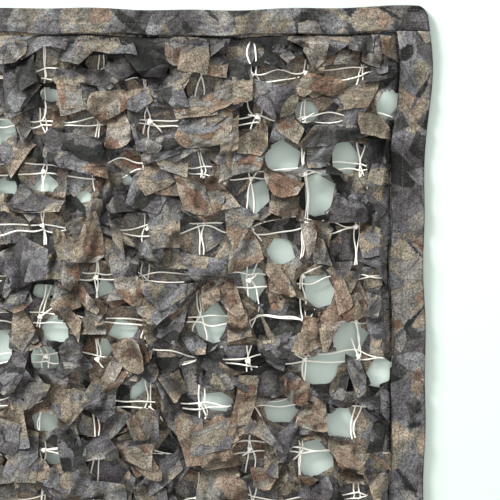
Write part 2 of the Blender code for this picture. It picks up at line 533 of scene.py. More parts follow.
@dataclass
class Leaf:
    """One leaf of the garnish cloth: its flat cut, its creases and its place."""

    x: float
    y: float
    heading: float
    width: float
    length: float
    cut: Cut
    tone: float
    relief: float
    corners: tuple[tuple[float, float], ...]
    creases: tuple[Crease, ...]
    curl_across: float
    curl_tip: float
    pleat: float
    phase: float
    print_x: float
    print_y: float
    print_turn: float
    roundness: float = 0.45
    sunk: float = 0.0
    edges: list[tuple[float, float, float]] = field(default_factory=list)

    least_share = 0.22           # of its area, under which a trimmed leaf is left out
    least_area = 1.2e-4
    least_edge = 2e-4
    root_share = 0.45            # of its length, over which the sunk root rises
    pleat_reach = 0.034
    pleat_pitch = 0.015
    fold_share, crease_share = 0.5, 0.35

    @property
    def size(self) -> float:
        """Return half the leaf's diagonal."""
        return math.hypot(self.width, self.length) / 2

    def outline_place(self, across: float, along: float) -> tuple[float, float]:
        """Place a point of the unit square on the flat leaf.

        Args:
            across: place across the leaf, from -0.5 to 0.5.
            along: place along the leaf, from -0.5 at its root to 0.5 at its tip.

        Returns:
            The point's place on the flat cut, in metres.
        """
        low_left, low_right, high_right, high_left = self.corners
        blunt = self.roundness * (1.0 if along > 0 else 0.35)
        half_x, half_y = 2 * across, 2 * along
        across *= 1 - blunt * (1 - math.sqrt(max(0.0, 1 - half_y * half_y / 2)))
        along *= 1 - blunt * (1 - math.sqrt(max(0.0, 1 - half_x * half_x / 2)))
        right, up = across + 0.5, along + 0.5
        x = across + ((1 - right) * ((1 - up) * low_left[0] + up * high_left[0])
                      + right * ((1 - up) * low_right[0] + up * high_right[0]))
        y = along + ((1 - right) * ((1 - up) * low_left[1] + up * high_left[1])
                     + right * ((1 - up) * low_right[1] + up * high_right[1]))
        if self.cut is TONGUE:
            y -= 0.16 * 4 * across * across * up
            x *= 0.82 + 0.30 * math.sin(math.pi * (0.12 + 0.62 * up))
        elif self.cut is WEDGE:
            x *= 0.16 + 0.84 * min(1.0, up * 1.15) ** 0.85
            y -= 0.10 * 4 * across * across * up
        x += 0.012 * math.sin(7 * y + self.phase) + 0.008 * math.sin(19 * y + 3 * self.phase)
        y += 0.012 * math.sin(8 * x + 2 * self.phase) + 0.008 * math.sin(17 * x + self.phase)
        return x * self.width, y * self.length

    def flat_mesh(self, fineness: float) -> bpy.types.Mesh | None:
        """Cut the flat leaf.

        Args:
            fineness: side of the leaf's mesh squares.

        Returns:
            The flat leaf's mesh, or None where nothing is left of it.
        """
        shape = bmesh.new()
        wide = max(5, round(self.width / fineness))
        long = max(5, round(self.length / fineness))
        bmesh.ops.create_grid(shape, x_segments=wide, y_segments=long, size=0.5)
        for vert in shape.verts:
            vert.co.x, vert.co.y = self.outline_place(vert.co.x, vert.co.y)
        whole = sum(face.calc_area() for face in shape.faces)
        turn = self.heading - math.pi / 2
        for x, y, heading in self.edges:
            point = (*turned(x - self.x, y - self.y, -turn), 0)
            normal = (math.cos(heading - turn), math.sin(heading - turn), 0)
            cut_across(shape, point, normal, clear=True)
        left = sum(face.calc_area() for face in shape.faces)
        if left < self.least_share * whole or left < self.least_area:
            shape.free()
            return None
        for crease in self.creases:
            normal = (math.cos(crease.heading), math.sin(crease.heading), 0)
            cut_across(shape, (crease.x, crease.y, 0), normal)
        bmesh.ops.dissolve_degenerate(shape, edges=shape.edges[:], dist=self.least_edge)
        mesh = bpy.data.meshes.new("leaf")
        shape.to_mesh(mesh)
        shape.free()
        return mesh

    def shaped(self, flat: Array) -> Array:
        """Crease and curl the leaf.

        Args:
            flat: the flat leaf's points, one row each.

        Returns:
            The points of the shaped leaf, its sunk root below height 0, not yet placed.
        """
        points = flat.copy()
        points[:, 2] = 0
        for crease in self.creases:
            normal = np.array([math.cos(crease.heading), math.sin(crease.heading)])
            past = (points[:, :2] - (crease.x, crease.y)) @ normal
            past = crease.softness * np.logaddexp(0, past / crease.softness)
            points[:, :2] -= np.outer(past * (1 - math.cos(crease.bend)), normal)
            points[:, 2] += past * math.sin(crease.bend)
        across = flat[:, 0] / self.width * 2
        along = np.clip(flat[:, 1] / self.length + 0.5, 0, 1.3)
        fan = flat[:, 0] * (self.pleat_reach / (0.020 + along * self.length))
        points[:, 2] += (self.pleat * np.exp(-along * self.length / self.pleat_reach)
                         * np.sin(math.tau * fan / self.pleat_pitch + self.phase))
        shift = (self.print_x, self.print_y)
        points[:, 2] += (self.fold_share * FOLDS.at(flat[:, :2] + shift)
                         + self.crease_share * CREASES.at(flat[:, :2] + shift))
        height = points[:, 2]
        low, high = np.quantile(height, (0.02, 0.98))
        height = (height - low) * min(1.0, self.relief / max(high - low, 1e-6))
        height += self.curl_across * across ** 2 * along + self.curl_tip * along ** 1.5
        points[:, 2] = height - self.sunk * (1 - ramp(along, self.root_share))
        return points


@dataclass(frozen=True)
class LeafLayer:
    """How the leaves of one layer are cut, set and draped."""

    name: str
    seed: int
    fineness: float
    width: tuple[float, float]
    length: tuple[float, float]
    bend: tuple[float, float]
    relief: tuple[float, float]
    wander: float
    turn: float
    highest: float
    tone: tuple[float, float]
    tip: tuple[float, float]
    sunk: float


class LeafMaker:
    """Cuts leaves at random from a layer's sizes."""

    curl = (-0.007, 0.003)
    pleat = (0.0008, 0.0032)
    softness = (0.0003, 0.0006, 0.0015, 0.004)

    def __init__(self, layer: LeafLayer) -> None:
        """Start the layer's own row of random numbers."""
        self.layer = layer
        self.pick = random.Random(layer.seed)

    def crease(self, width: float, length: float) -> Crease:
        """Crease a leaf at random.

        Args:
            width: the leaf's width.
            length: the leaf's length.

        Returns:
            The crease.
        """
        pick = self.pick
        bend = math.radians(pick.uniform(*self.layer.bend)) * pick.choice((-1, 1))
        return Crease(pick.uniform(-0.25, 0.25) * width, pick.uniform(-0.25, 0.25) * length,
                      pick.uniform(0, math.tau), bend, pick.choice(self.softness))

    def set_leaf(self, x: float, y: float, placed: "SetLeaf") -> Leaf:
        """Cut one listed leaf.

        Args:
            x: place of its middle across the net.
            y: place of its middle along the net.
            placed: its heading, size, cut and tone.

        Returns:
            The leaf.
        """
        leaf = self.leaf(x, y)
        leaf.x, leaf.y = x, y
        leaf.heading = math.radians(placed.heading)
        leaf.width, leaf.length = placed.width, placed.length
        leaf.cut, leaf.tone = placed.cut, placed.tone
        leaf.roundness = 0.5 if placed.cut is TONGUE else self.pick.choice((0.0, 0.12))
        leaf.creases = tuple(self.crease(placed.width, placed.length) for _ in range(3))
        return leaf

    def leaf(self, x: float, y: float) -> Leaf:
        """Cut one leaf.

        Args:
            x: place of its middle across the net.
            y: place of its middle along the net.

        Returns:
            The leaf.
        """
        pick = self.pick
        layer = self.layer
        heading = -math.pi / 2 + pick.gauss(0, layer.turn)
        width = pick.uniform(*layer.width)
        length = pick.uniform(*layer.length)
        corners = tuple((pick.uniform(-0.24, 0.20), pick.uniform(-0.20, 0.20)) for _ in range(4))
        creases = tuple(self.crease(width, length) for _ in range(pick.choice((2, 3, 3, 4))))
        cut = pick.choices((PATCH, TONGUE, WEDGE), (4, 5, 3))[0]
        return Leaf(
            x=x + pick.gauss(0, layer.wander), y=y + pick.gauss(0, layer.wander), heading=heading,
            width=width, length=length, cut=cut, tone=pick.uniform(*layer.tone),
            relief=pick.uniform(*layer.relief), corners=corners, creases=creases,
            curl_across=pick.uniform(*self.curl), curl_tip=pick.uniform(*layer.tip),
            pleat=pick.uniform(*self.pleat), phase=pick.uniform(0, math.tau),
            print_x=pick.uniform(0, 3), print_y=pick.uniform(0, 3), print_turn=pick.gauss(0, 0.3),
            roundness=pick.choice((0.0, 0.1, 0.25, 0.45)), sunk=layer.sunk,
        )


class ClothTone:
    """The tone of the front of the cloth: that of the listed leaves, and broad patches."""

    reach = 0.020
    middle, swing = 0.46, 0.34   # of the patches between the listed leaves
    patch_share = 0.05
    # Darker tone along the bands' inner edges: painted shade where the cloth goes under the bands.
    edge_drop, edge_reach = 0.32, 0.016

    def __init__(self, plan: NetPlan) -> None:
        """Collect the listed leaves' tones.

        Args:
            plan: the net's layout.
        """
        self.plan = plan
        spots = np.array([(leaf.from_right, leaf.from_top) for leaf in CORNER_LEAVES])
        self.spots = np.column_stack(plan.from_corner(spots[:, 0], spots[:, 1]))
        self.tones = np.array([leaf.tone for leaf in CORNER_LEAVES])

    def at(self, places: Array) -> Array:
        """Work out the tone.

        Args:
            places: places in the frame, one row each.

        Returns:
            The tone at each place.
        """
        patches = np.array([(noise.noise(Vector((x * 11, y * 13, 2.1))),
                             noise.noise(Vector((x * 26, y * 26, 0.3)))) for x, y in places])
        broad = self.middle + self.swing * patches[:, 0] + self.swing * patches[:, 1]
        away = ((places[:, None, :] - self.spots[None]) ** 2).sum(2)
        weight = np.exp(-away / self.reach ** 2)
        near = (weight @ self.tones + self.patch_share * broad) / (weight.sum(1) + self.patch_share)
        inside = self.plan.inside(places[:, 0], places[:, 1])
        # The tone is lowered for the painted shade along the bands and for the listed corner shades,
        # and raised for their painted light.
        tone = near + 0.16 * patches[:, 1] - self.edge_drop * self.plan.bell(inside, self.edge_reach)
        return np.maximum(tone - self.dark(places), 0)

    def dark(self, places: Array) -> Array:
        """Work out the painted shade that the listed corner shades give places, below nought for their
        painted light.

        Args:
            places: places in the frame, one row each.

        Returns:
            The painted shade at each place, below nought for painted light.
        """
        total = np.zeros(len(places))
        for shade in CORNER_SHADES:
            x, y = self.plan.from_corner(shade.from_right, shade.from_top)
            total += shade.drop * self.plan.bell(np.hypot(places[:, 0] - x, places[:, 1] - y),
                                                 shade.radius)
        return total


@dataclass
class GarnishCloth:
    """The leaf-cut cloth: an under layer behind the mesh and leaves in front of it."""

    plan: NetPlan
    relief: Relief
    gaps: list[Gap]              # which stay open through every layer

    rest = 0.0085                # height of the middle of the cloth
    rest_share = 0.7
    bed_reach = 0.009            # how widely a leaf feels what lies beneath it
    print_drift = 0.02
    # How widely and how strongly the relief round a point paints shade into it.
    near_reach, near_depth = 0.005, 0.0035
    wide_reach, wide_depth = 0.012, 0.008
    # How strongly the listed corner shades paint shade and light into the cloth.
    corner_shade_share = 0.8
    crease_angle = math.radians(32)
    slant = 0.22                 # how far a trimmed edge may turn from its gap's rim
    room = 0.0005                # between a leaf and what lies beneath it
    ground, tucked_ground = 0.0004, 0.0014
    root_share, root_reach = 0.75, 0.55    # how far a sunk root has its surroundings' tone

    @cached_property
    def tone(self) -> ClothTone:
        """Return the tone of the front of the cloth."""
        return ClothTone(self.plan)

    def trim(self, leaf: Leaf, gaps: list[Gap], spare: tuple[float, float],
             pick: random.Random) -> None:
        """Note the straight cuts that keep a leaf out of nearby gaps.

        Args:
            leaf: the leaf to trim.
            gaps: the gaps to keep clear.
            spare: least and most room left round a gap, as a share of its size.
            pick: source of random numbers.
        """
        for gap in gaps:
            away_x, away_y = leaf.x - gap.x, leaf.y - gap.y
            if math.hypot(away_x, away_y) > leaf.size * 1.35 + max(gap.width, gap.height) / 2:
                continue
            heading = math.atan2(away_y, away_x) + pick.gauss(0, self.slant)
            reach = gap.reach(heading) * pick.uniform(*spare)
            leaf.edges.append((gap.x + reach * math.cos(heading),
                               gap.y + reach * math.sin(heading), heading))

    def trim_to_bands(self, leaf: Leaf, margin: float) -> None:
        """Note the cuts that keep a leaf inside the bands.

        Args:
            leaf: the leaf to trim.
            margin: how far inside the bands' inner edges it stays, negative to go under them.
        """
        for quarter, distance in zip((0, 2, 1, 3), self.plan.margins(leaf.x, leaf.y)):
            if distance > leaf.size * 1.4 + 0.01:
                continue
            turn = quarter * math.pi / 2
            reach = float(distance) - margin
            leaf.edges.append((leaf.x + reach * math.cos(turn), leaf.y + reach * math.sin(turn),
                               turn + math.pi))

    def lay(self, leaf: Leaf, mesh: bpy.types.Mesh, highest: float) -> None:
        """Drape one flat leaf over what lies beneath, and print it.

        Args:
            leaf: the leaf.
            mesh: its flat mesh, which is changed.
            highest: greatest height that the leaf may reach.
        """
        flat = mesh_points(mesh)
        points = leaf.shaped(flat)
        x, y = turned(points[:, 0], points[:, 1], leaf.heading - math.pi / 2)
        places = np.column_stack([leaf.x + x, leaf.y + y])
        own = points[:, 2]
        under = self.relief.soft_top(places, self.bed_reach)
        middle = (1 - self.rest_share) * under + self.rest_share * self.rest
        height = np.minimum(under, middle) + own
        root = np.clip(flat[:, 1] / leaf.length + 0.5, 0, 1)
        floor = self.relief.top(places) + self.room
        floor -= 3 * leaf.sunk * (1 - ramp(root, leaf.root_share))
        height = pressed(lifted(mesh, height, floor, 4), highest)
        inside = self.plan.inside(places[:, 0], places[:, 1])
        ceiling = BAND_MOUTH_HEIGHT + np.maximum(inside - 0.001, 0) * BAND_MOUTH_SLOPE
        ground = np.where(inside < 0.002, self.tucked_ground, self.ground)
        height = np.clip(height, ground, np.maximum(ceiling, ground))
        move_points(mesh, np.column_stack([places, height]))
        self.relief.pile(places, height)
        self.print_cloth(leaf, mesh, flat)

    def print_cloth(self, leaf: Leaf, mesh: bpy.types.Mesh, flat: Array) -> None:
        """Give a leaf its place in the printed cloth and its tone.

        Args:
            leaf: the leaf.
            mesh: its mesh.
            flat: the points of its flat cut.
        """
        x, y = turned(flat[:, 0], flat[:, 1], leaf.heading - math.pi / 2 + leaf.print_turn)
        places = np.column_stack([leaf.x + self.print_drift * leaf.print_x + x,
                                  leaf.y + self.print_drift * leaf.print_y + y])
        corners = np.empty(len(mesh.loops), np.int32)
        mesh.loops.foreach_get("vertex_index", corners)
        layer = mesh.uv_layers.new(name="print")
        layer.data.foreach_set("uv", places[corners].astype(np.float32).ravel())
        along = flat[:, 1] / leaf.length + 0.5
        own = 1 - self.root_share * (leaf.sunk > 0) * (1 - ramp(along, self.root_reach))
        cloth = self.tone.at(mesh_points(mesh)[:, :2]) if leaf.sunk else 0.0
        note_values(mesh, "tone", own * leaf.tone + (1 - own) * cloth)

    def paint_shade_by_depth(self, piece: Piece, share: float) -> None:
        """Paint shade into a piece by how far each point lies under its surroundings: painted shade in
        its hollows, painted light where it stands above them.

        Args:
            piece: a laid piece of the cloth, which gets an attribute with its painted shade and painted
                light.
            share: how strongly it shows.
        """
        mesh = piece.data
        points = mesh_points(mesh)
        near = self.relief.soft_top(points[:, :2], self.near_reach) - points[:, 2]
        wide = self.relief.soft_top(points[:, :2], self.wide_reach) - points[:, 2]
        # Painted shade from how far each point lies below the relief round it, faded out towards the
        # bands.
        deep = np.clip(0.5 * near / self.near_depth + 0.5 * wide / self.wide_depth, -1, 1)
        deep *= ramp(self.plan.inside(points[:, 0], points[:, 1]), 0.022)
        # A share below one lifts the whole piece, which is painted light. The listed corner shades add
        # their own painted shade and light.
        deep = share * deep - (1 - share) + self.corner_shade_share * self.tone.dark(points[:, :2])
        note_values(mesh, "deep", deep)

    def make_layer(self, layer: LeafLayer, leaves: list[Leaf], parts: int) -> list[Piece]:
        """Drape a layer's leaves one on another.

        Args:
            layer: the layer's settings.
            leaves: its leaves, the lowest first.
            parts: number of pieces that the layer is split into, along the net.

        Returns:
            The layer's pieces, from the top of the net down.
        """
        shapes = [bmesh.new() for _ in range(parts)]
        low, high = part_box("garnish_cloth")
        for leaf in leaves:
            mesh = leaf.flat_mesh(layer.fineness)
            if mesh is None:
                continue
            self.lay(leaf, mesh, layer.highest)
            share = (high.y - leaf.y) / (high.y - low.y)
            shapes[min(parts - 1, max(0, int(share * parts)))].from_mesh(mesh)
            bpy.data.meshes.remove(mesh)
        pieces = []
        for index, shape in enumerate(shapes):
            piece = new_piece(f"{layer.name}_{index + 1}", shape)
            piece.data.set_sharp_from_angle(angle=self.crease_angle)
            pieces.append(piece)
        return pieces


UNDER_LAYER = LeafLayer(
    name="garnish_under", seed=11, fineness=0.0060, width=(0.058, 0.080), length=(0.056, 0.078),
    bend=(8, 35), relief=(0.002, 0.004), wander=0.006, turn=1.3, highest=0.0065,
    tone=(0.36, 0.70), tip=(0.0, 0.001), sunk=0.0)
FRONT_LAYER = LeafLayer(
    name="garnish_leaves", seed=12, fineness=0.0038, width=(0.044, 0.082), length=(0.050, 0.086),
    bend=(20, 60), relief=(0.008, 0.017), wander=0.008, turn=0.75, highest=0.033,
    tone=(0.02, 0.86), tip=(-0.001, 0.005), sunk=0.0020)


@dataclass
class FrontSheet:
    """The front of the garnish cloth: one crumpled sheet that is open at the windows."""

    plan: NetPlan
    relief: Relief
    openings: list[Gap]
    hollows: list[Gap]
    step: float = 0.0032
    lowest: float = 0.0012
    middle: float = 0.0085
    highest: float = 0.024
    over: float = 0.0060         # how far the cloth stands up above an opening
    under: float = 0.0040        # how far it sinks below one
    reach: float = 0.012
    room: float = 0.0008
    snap_share: float = 0.62     # of a step, within which a point moves to a rim
    crease_angle: float = math.radians(30)

    def nearest(self, x: Array, y: Array) -> Pair:
        """Find the opening nearest to each point.

        Args:
            x: places in the frame along X.
            y: places in the frame along Y.

        Returns:
            How far out of its nearest opening each point is, and that opening's index.
        """
        level = np.full(len(x), 9.0)
        owner = np.zeros(len(x), int)
        for index, gap in enumerate(self.openings + self.hollows):
            near = (np.abs(x - gap.x) < gap.width) & (np.abs(y - gap.y) < gap.height)
            out = gap.rim(x[near], y[near])
            closer = out < level[near]
            spots = np.flatnonzero(near)[closer]
            level[spots], owner[spots] = out[closer], index
        return level, owner

    def heights(self, mesh: bpy.types.Mesh) -> Array:
        """Lift the sheet over the cords and round its openings.

        Args:
            mesh: the sheet's mesh.

        Returns:
            The height of each point.
        """
        places = mesh_points(mesh)[:, :2]
        x, y = places.T
        height = self.middle + FOLDS.at(places) + CREASES.at(places)
        for gap in self.openings + self.hollows:
            size = (gap.width + gap.height) / 4
            near = np.hypot(x - gap.x, y - gap.y) < size + 4 * self.reach
            out = np.maximum(gap.rim(x[near], y[near]) - 1, 0) * size
            up = (y[near] - gap.y) / np.hypot(x[near] - gap.x, y[near] - gap.y).clip(1e-6)
            pull = np.where(up > -0.2, self.over * (up + 0.2), self.under * (up + 0.2))
            height[near] += pull * np.exp(-out / self.reach)
        floor = self.relief.top(places) + self.room
        height = pressed(lifted(mesh, height, floor, 5), self.highest)
        ceiling = BAND_MOUTH_HEIGHT + (self.plan.inside(x, y) - 0.001) * BAND_MOUTH_SLOPE
        return np.clip(height, self.lowest, np.maximum(ceiling, self.lowest))

    def cut_openings(self, shape: bmesh.types.BMesh, level: Array, owner: Array) -> None:
        """Move the points beside each opening onto its rim, and delete the cloth inside.

        Args:
            shape: the sheet, its points inside openings tagged.
            level: how far out of its nearest opening each point is.
            owner: the index of that opening.
        """
        everything = self.openings + self.hollows
        for vert in [vert for vert in shape.verts if level[vert.index] < 1.5]:
            if not any(other.tag != vert.tag for edge in vert.link_edges for other in edge.verts):
                continue
            gap = everything[owner[vert.index]]
            out = level[vert.index]
            if abs(out - 1) * (gap.width + gap.height) / 4 < self.snap_share * self.step:
                vert.co.x = gap.x + (vert.co.x - gap.x) / out
                vert.co.y = gap.y + (vert.co.y - gap.y) / out
                vert.tag = False
        gone = [face for face in shape.faces if any(vert.tag for vert in face.verts)
                or level[[vert.index for vert in face.verts]].mean() < 0.98]
        bmesh.ops.delete(shape, geom=gone, context="FACES")

    def make(self, name: str) -> Piece:
        """Make the sheet.

        Args:
            name: the piece's name.

        Returns:
            The piece, with its print and tone.
        """
        plan = self.plan
        wide, long = plan.opening
        shape = bmesh.new()
        bmesh.ops.create_grid(shape, x_segments=round(wide / self.step),
                              y_segments=round(long / self.step), size=0.5)
        flat = np.array([vert.co.xy for vert in shape.verts]) * (wide, long)
        places = np.column_stack(plan.lay(flat[:, 0], flat[:, 1]))
        level, owner = self.nearest(places[:, 0], places[:, 1])
        uv = shape.loops.layers.uv.new("print")
        tone = shape.verts.layers.float.new("tone")
        tones = ClothTone(plan).at(places)
        for vert, spot, place, out, shade in zip(shape.verts, flat, places, level, tones):
            vert.co.xy = place
            vert.tag = out < 1
            vert[tone] = shade
            for loop in vert.link_loops:
                loop[uv].uv = spot
        self.cut_openings(shape, level, owner)
        piece = new_piece(name, shape)
        mesh = piece.data
        points = mesh_points(mesh)
        points[:, 2] = self.heights(mesh)
        move_points(mesh, points)
        self.relief.pile(points[:, :2], points[:, 2])
        mesh.set_sharp_from_angle(angle=self.crease_angle)
        return piece


@dataclass(frozen=True)
class SmallGap:
    """One listed gap, from the net's top right corner."""

    from_right: float
    from_top: float
    width: float
    height: float


SMALL_GAPS = tuple(SmallGap(*row) for row in (
    (0.174, 0.290, 0.024, 0.028), (0.057, 0.440, 0.022, 0.026), (0.144, 0.124, 0.023, 0.026),
    (0.054, 0.116, 0.020, 0.026), (0.361, 0.386, 0.026, 0.019), (0.250, 0.473, 0.036, 0.015),
    (0.386, 0.336, 0.013, 0.014), (0.410, 0.226, 0.014, 0.012), (0.358, 0.206, 0.012, 0.012),
    (0.386, 0.410, 0.014, 0.012), (0.346, 0.460, 0.013, 0.010),
))


def placed_gap(plan: NetPlan, small: SmallGap) -> Gap:
    """Return a listed gap in the laid net."""
    x, y = plan.from_corner(small.from_right, small.from_top)
    return Gap(float(x), float(y), small.width, small.height, uneven=0.11)


# Windows between the front leaves, where the mesh and the under layer show.
CORNER_WINDOWS = tuple(SmallGap(*row) for row in (
    (0.095, 0.079, 0.058, 0.029), (0.154, 0.070, 0.026, 0.022), (0.181, 0.080, 0.067, 0.022),
    (0.268, 0.093, 0.038, 0.034), (0.347, 0.091, 0.029, 0.014), (0.392, 0.066, 0.029, 0.022),
    (0.121, 0.123, 0.053, 0.031), (0.210, 0.130, 0.043, 0.031), (0.320, 0.138, 0.062, 0.041),
    (0.408, 0.141, 0.050, 0.034), (0.088, 0.183, 0.038, 0.046), (0.130, 0.220, 0.041, 0.053),
    (0.211, 0.218, 0.050, 0.053), (0.272, 0.188, 0.034, 0.031), (0.359, 0.184, 0.053, 0.029),
    (0.412, 0.220, 0.038, 0.053), (0.095, 0.284, 0.038, 0.055), (0.172, 0.279, 0.064, 0.050),
    (0.202, 0.264, 0.017, 0.014), (0.268, 0.276, 0.062, 0.043), (0.348, 0.268, 0.046, 0.043),
    (0.166, 0.177, 0.046, 0.038), (0.133, 0.332, 0.052, 0.055), (0.212, 0.325, 0.048, 0.046),
    (0.308, 0.321, 0.053, 0.024), (0.337, 0.316, 0.014, 0.029), (0.392, 0.327, 0.048, 0.046),
    (0.086, 0.397, 0.046, 0.055), (0.176, 0.377, 0.062, 0.054), (0.220, 0.416, 0.048, 0.041),
    (0.260, 0.379, 0.058, 0.048), (0.358, 0.379, 0.055, 0.043), (0.412, 0.364, 0.014, 0.014),
    (0.121, 0.430, 0.053, 0.041), (0.158, 0.424, 0.022, 0.024), (0.283, 0.428, 0.017, 0.031),
    (0.312, 0.409, 0.050, 0.017), (0.391, 0.408, 0.036, 0.024), (0.056, 0.434, 0.029, 0.038),
    (0.086, 0.498, 0.060, 0.044), (0.175, 0.486, 0.055, 0.041), (0.263, 0.471, 0.067, 0.041),
    (0.349, 0.466, 0.053, 0.036), (0.415, 0.447, 0.026, 0.026), (0.138, 0.542, 0.058, 0.048),
    (0.210, 0.531, 0.043, 0.050), (0.310, 0.512, 0.028, 0.012), (0.378, 0.554, 0.053, 0.034),
    (0.406, 0.498, 0.041, 0.031), (0.084, 0.580, 0.046, 0.019), (0.162, 0.578, 0.024, 0.024),
    (0.284, 0.571, 0.034, 0.034), (0.062, 0.487, 0.017, 0.014), (0.065, 0.326, 0.031, 0.029),
    (0.061, 0.222, 0.024, 0.022), (0.050, 0.117, 0.026, 0.034), (0.056, 0.544, 0.043, 0.029),
))

# Hollows between the front leaves, where the under leaves are given a near-black tone: painted shade.
CORNER_HOLLOWS = tuple(SmallGap(*row) for row in (
    (0.218, 0.052, 0.048, 0.026), (0.330, 0.064, 0.041, 0.026), (0.313, 0.525, 0.041, 0.019),
    (0.282, 0.456, 0.017, 0.036), (0.096, 0.472, 0.031, 0.017), (0.191, 0.348, 0.043, 0.010),
    (0.132, 0.249, 0.026, 0.012), (0.251, 0.251, 0.024, 0.017), (0.248, 0.345, 0.014, 0.019),
    (0.162, 0.248, 0.017, 0.010), (0.390, 0.338, 0.031, 0.010), (0.419, 0.240, 0.026, 0.010),
    (0.096, 0.261, 0.036, 0.010), (0.196, 0.132, 0.036, 0.007), (0.060, 0.151, 0.026, 0.010),
    (0.056, 0.458, 0.024, 0.017), (0.275, 0.350, 0.017, 0.014), (0.376, 0.460, 0.017, 0.010),
    (0.330, 0.439, 0.029, 0.026), (0.048, 0.062, 0.012, 0.012), (0.088, 0.067, 0.012, 0.019),
    (0.196, 0.420, 0.024, 0.019),
))


@dataclass(frozen=True)
class SetLeaf:
    """One listed front leaf, from the net's top right corner, its heading in degrees."""

    from_right: float
    from_top: float
    heading: float
    width: float
    length: float
    tone: float
    cut: Cut = PATCH


@dataclass(frozen=True)
class Shade:
    """One patch of painted shade, from the top right corner; with drop below nought, one of painted
    light.
    """

    from_right: float
    from_top: float
    radius: float
    drop: float


# Painted shade over the dark pockets between the corner's leaves, and painted light where drop is below
# nought.
CORNER_SHADES = tuple(Shade(*row) for row in (
    (0.395, 0.045, 0.026, 0.25), (0.340, 0.046, 0.034, 0.42), (0.285, 0.050, 0.032, 0.40),
    (0.235, 0.046, 0.032, 0.38), (0.198, 0.054, 0.030, 0.42), (0.150, 0.040, 0.020, 0.20),
    (0.360, 0.250, 0.028, 0.22), (0.290, 0.242, 0.020, 0.22), (0.186, 0.256, 0.022, 0.30),
    (0.114, 0.268, 0.020, 0.10), (0.330, 0.424, 0.022, 0.34), (0.270, 0.430, 0.016, 0.26),
    (0.320, 0.528, 0.024, 0.36), (0.405, 0.500, 0.030, 0.22), (0.225, 0.330, 0.018, 0.22),
    (0.409, 0.058, 0.026, 0.22), (0.246, 0.060, 0.024, 0.20), (0.196, 0.058, 0.026, 0.22),
    (0.409, 0.394, 0.020, 0.16), (0.300, 0.440, 0.024, 0.20), (0.088, 0.436, 0.022, 0.20),
    (0.354, 0.520, 0.026, 0.28), (0.193, 0.562, 0.026, 0.26), (0.350, 0.590, 0.026, 0.28),
    (0.193, 0.098, 0.022, -0.22), (0.138, 0.102, 0.022, -0.26), (0.246, 0.120, 0.024, -0.16),
    (0.409, 0.184, 0.024, -0.26), (0.300, 0.184, 0.024, -0.18), (0.193, 0.184, 0.022, -0.20),
    (0.246, 0.226, 0.024, -0.26), (0.084, 0.268, 0.018, -0.20), (0.246, 0.310, 0.026, -0.32),
    (0.193, 0.394, 0.024, -0.26), (0.138, 0.394, 0.022, -0.22), (0.084, 0.352, 0.020, -0.14),
    (0.230, 0.600, 0.030, -0.24),
))


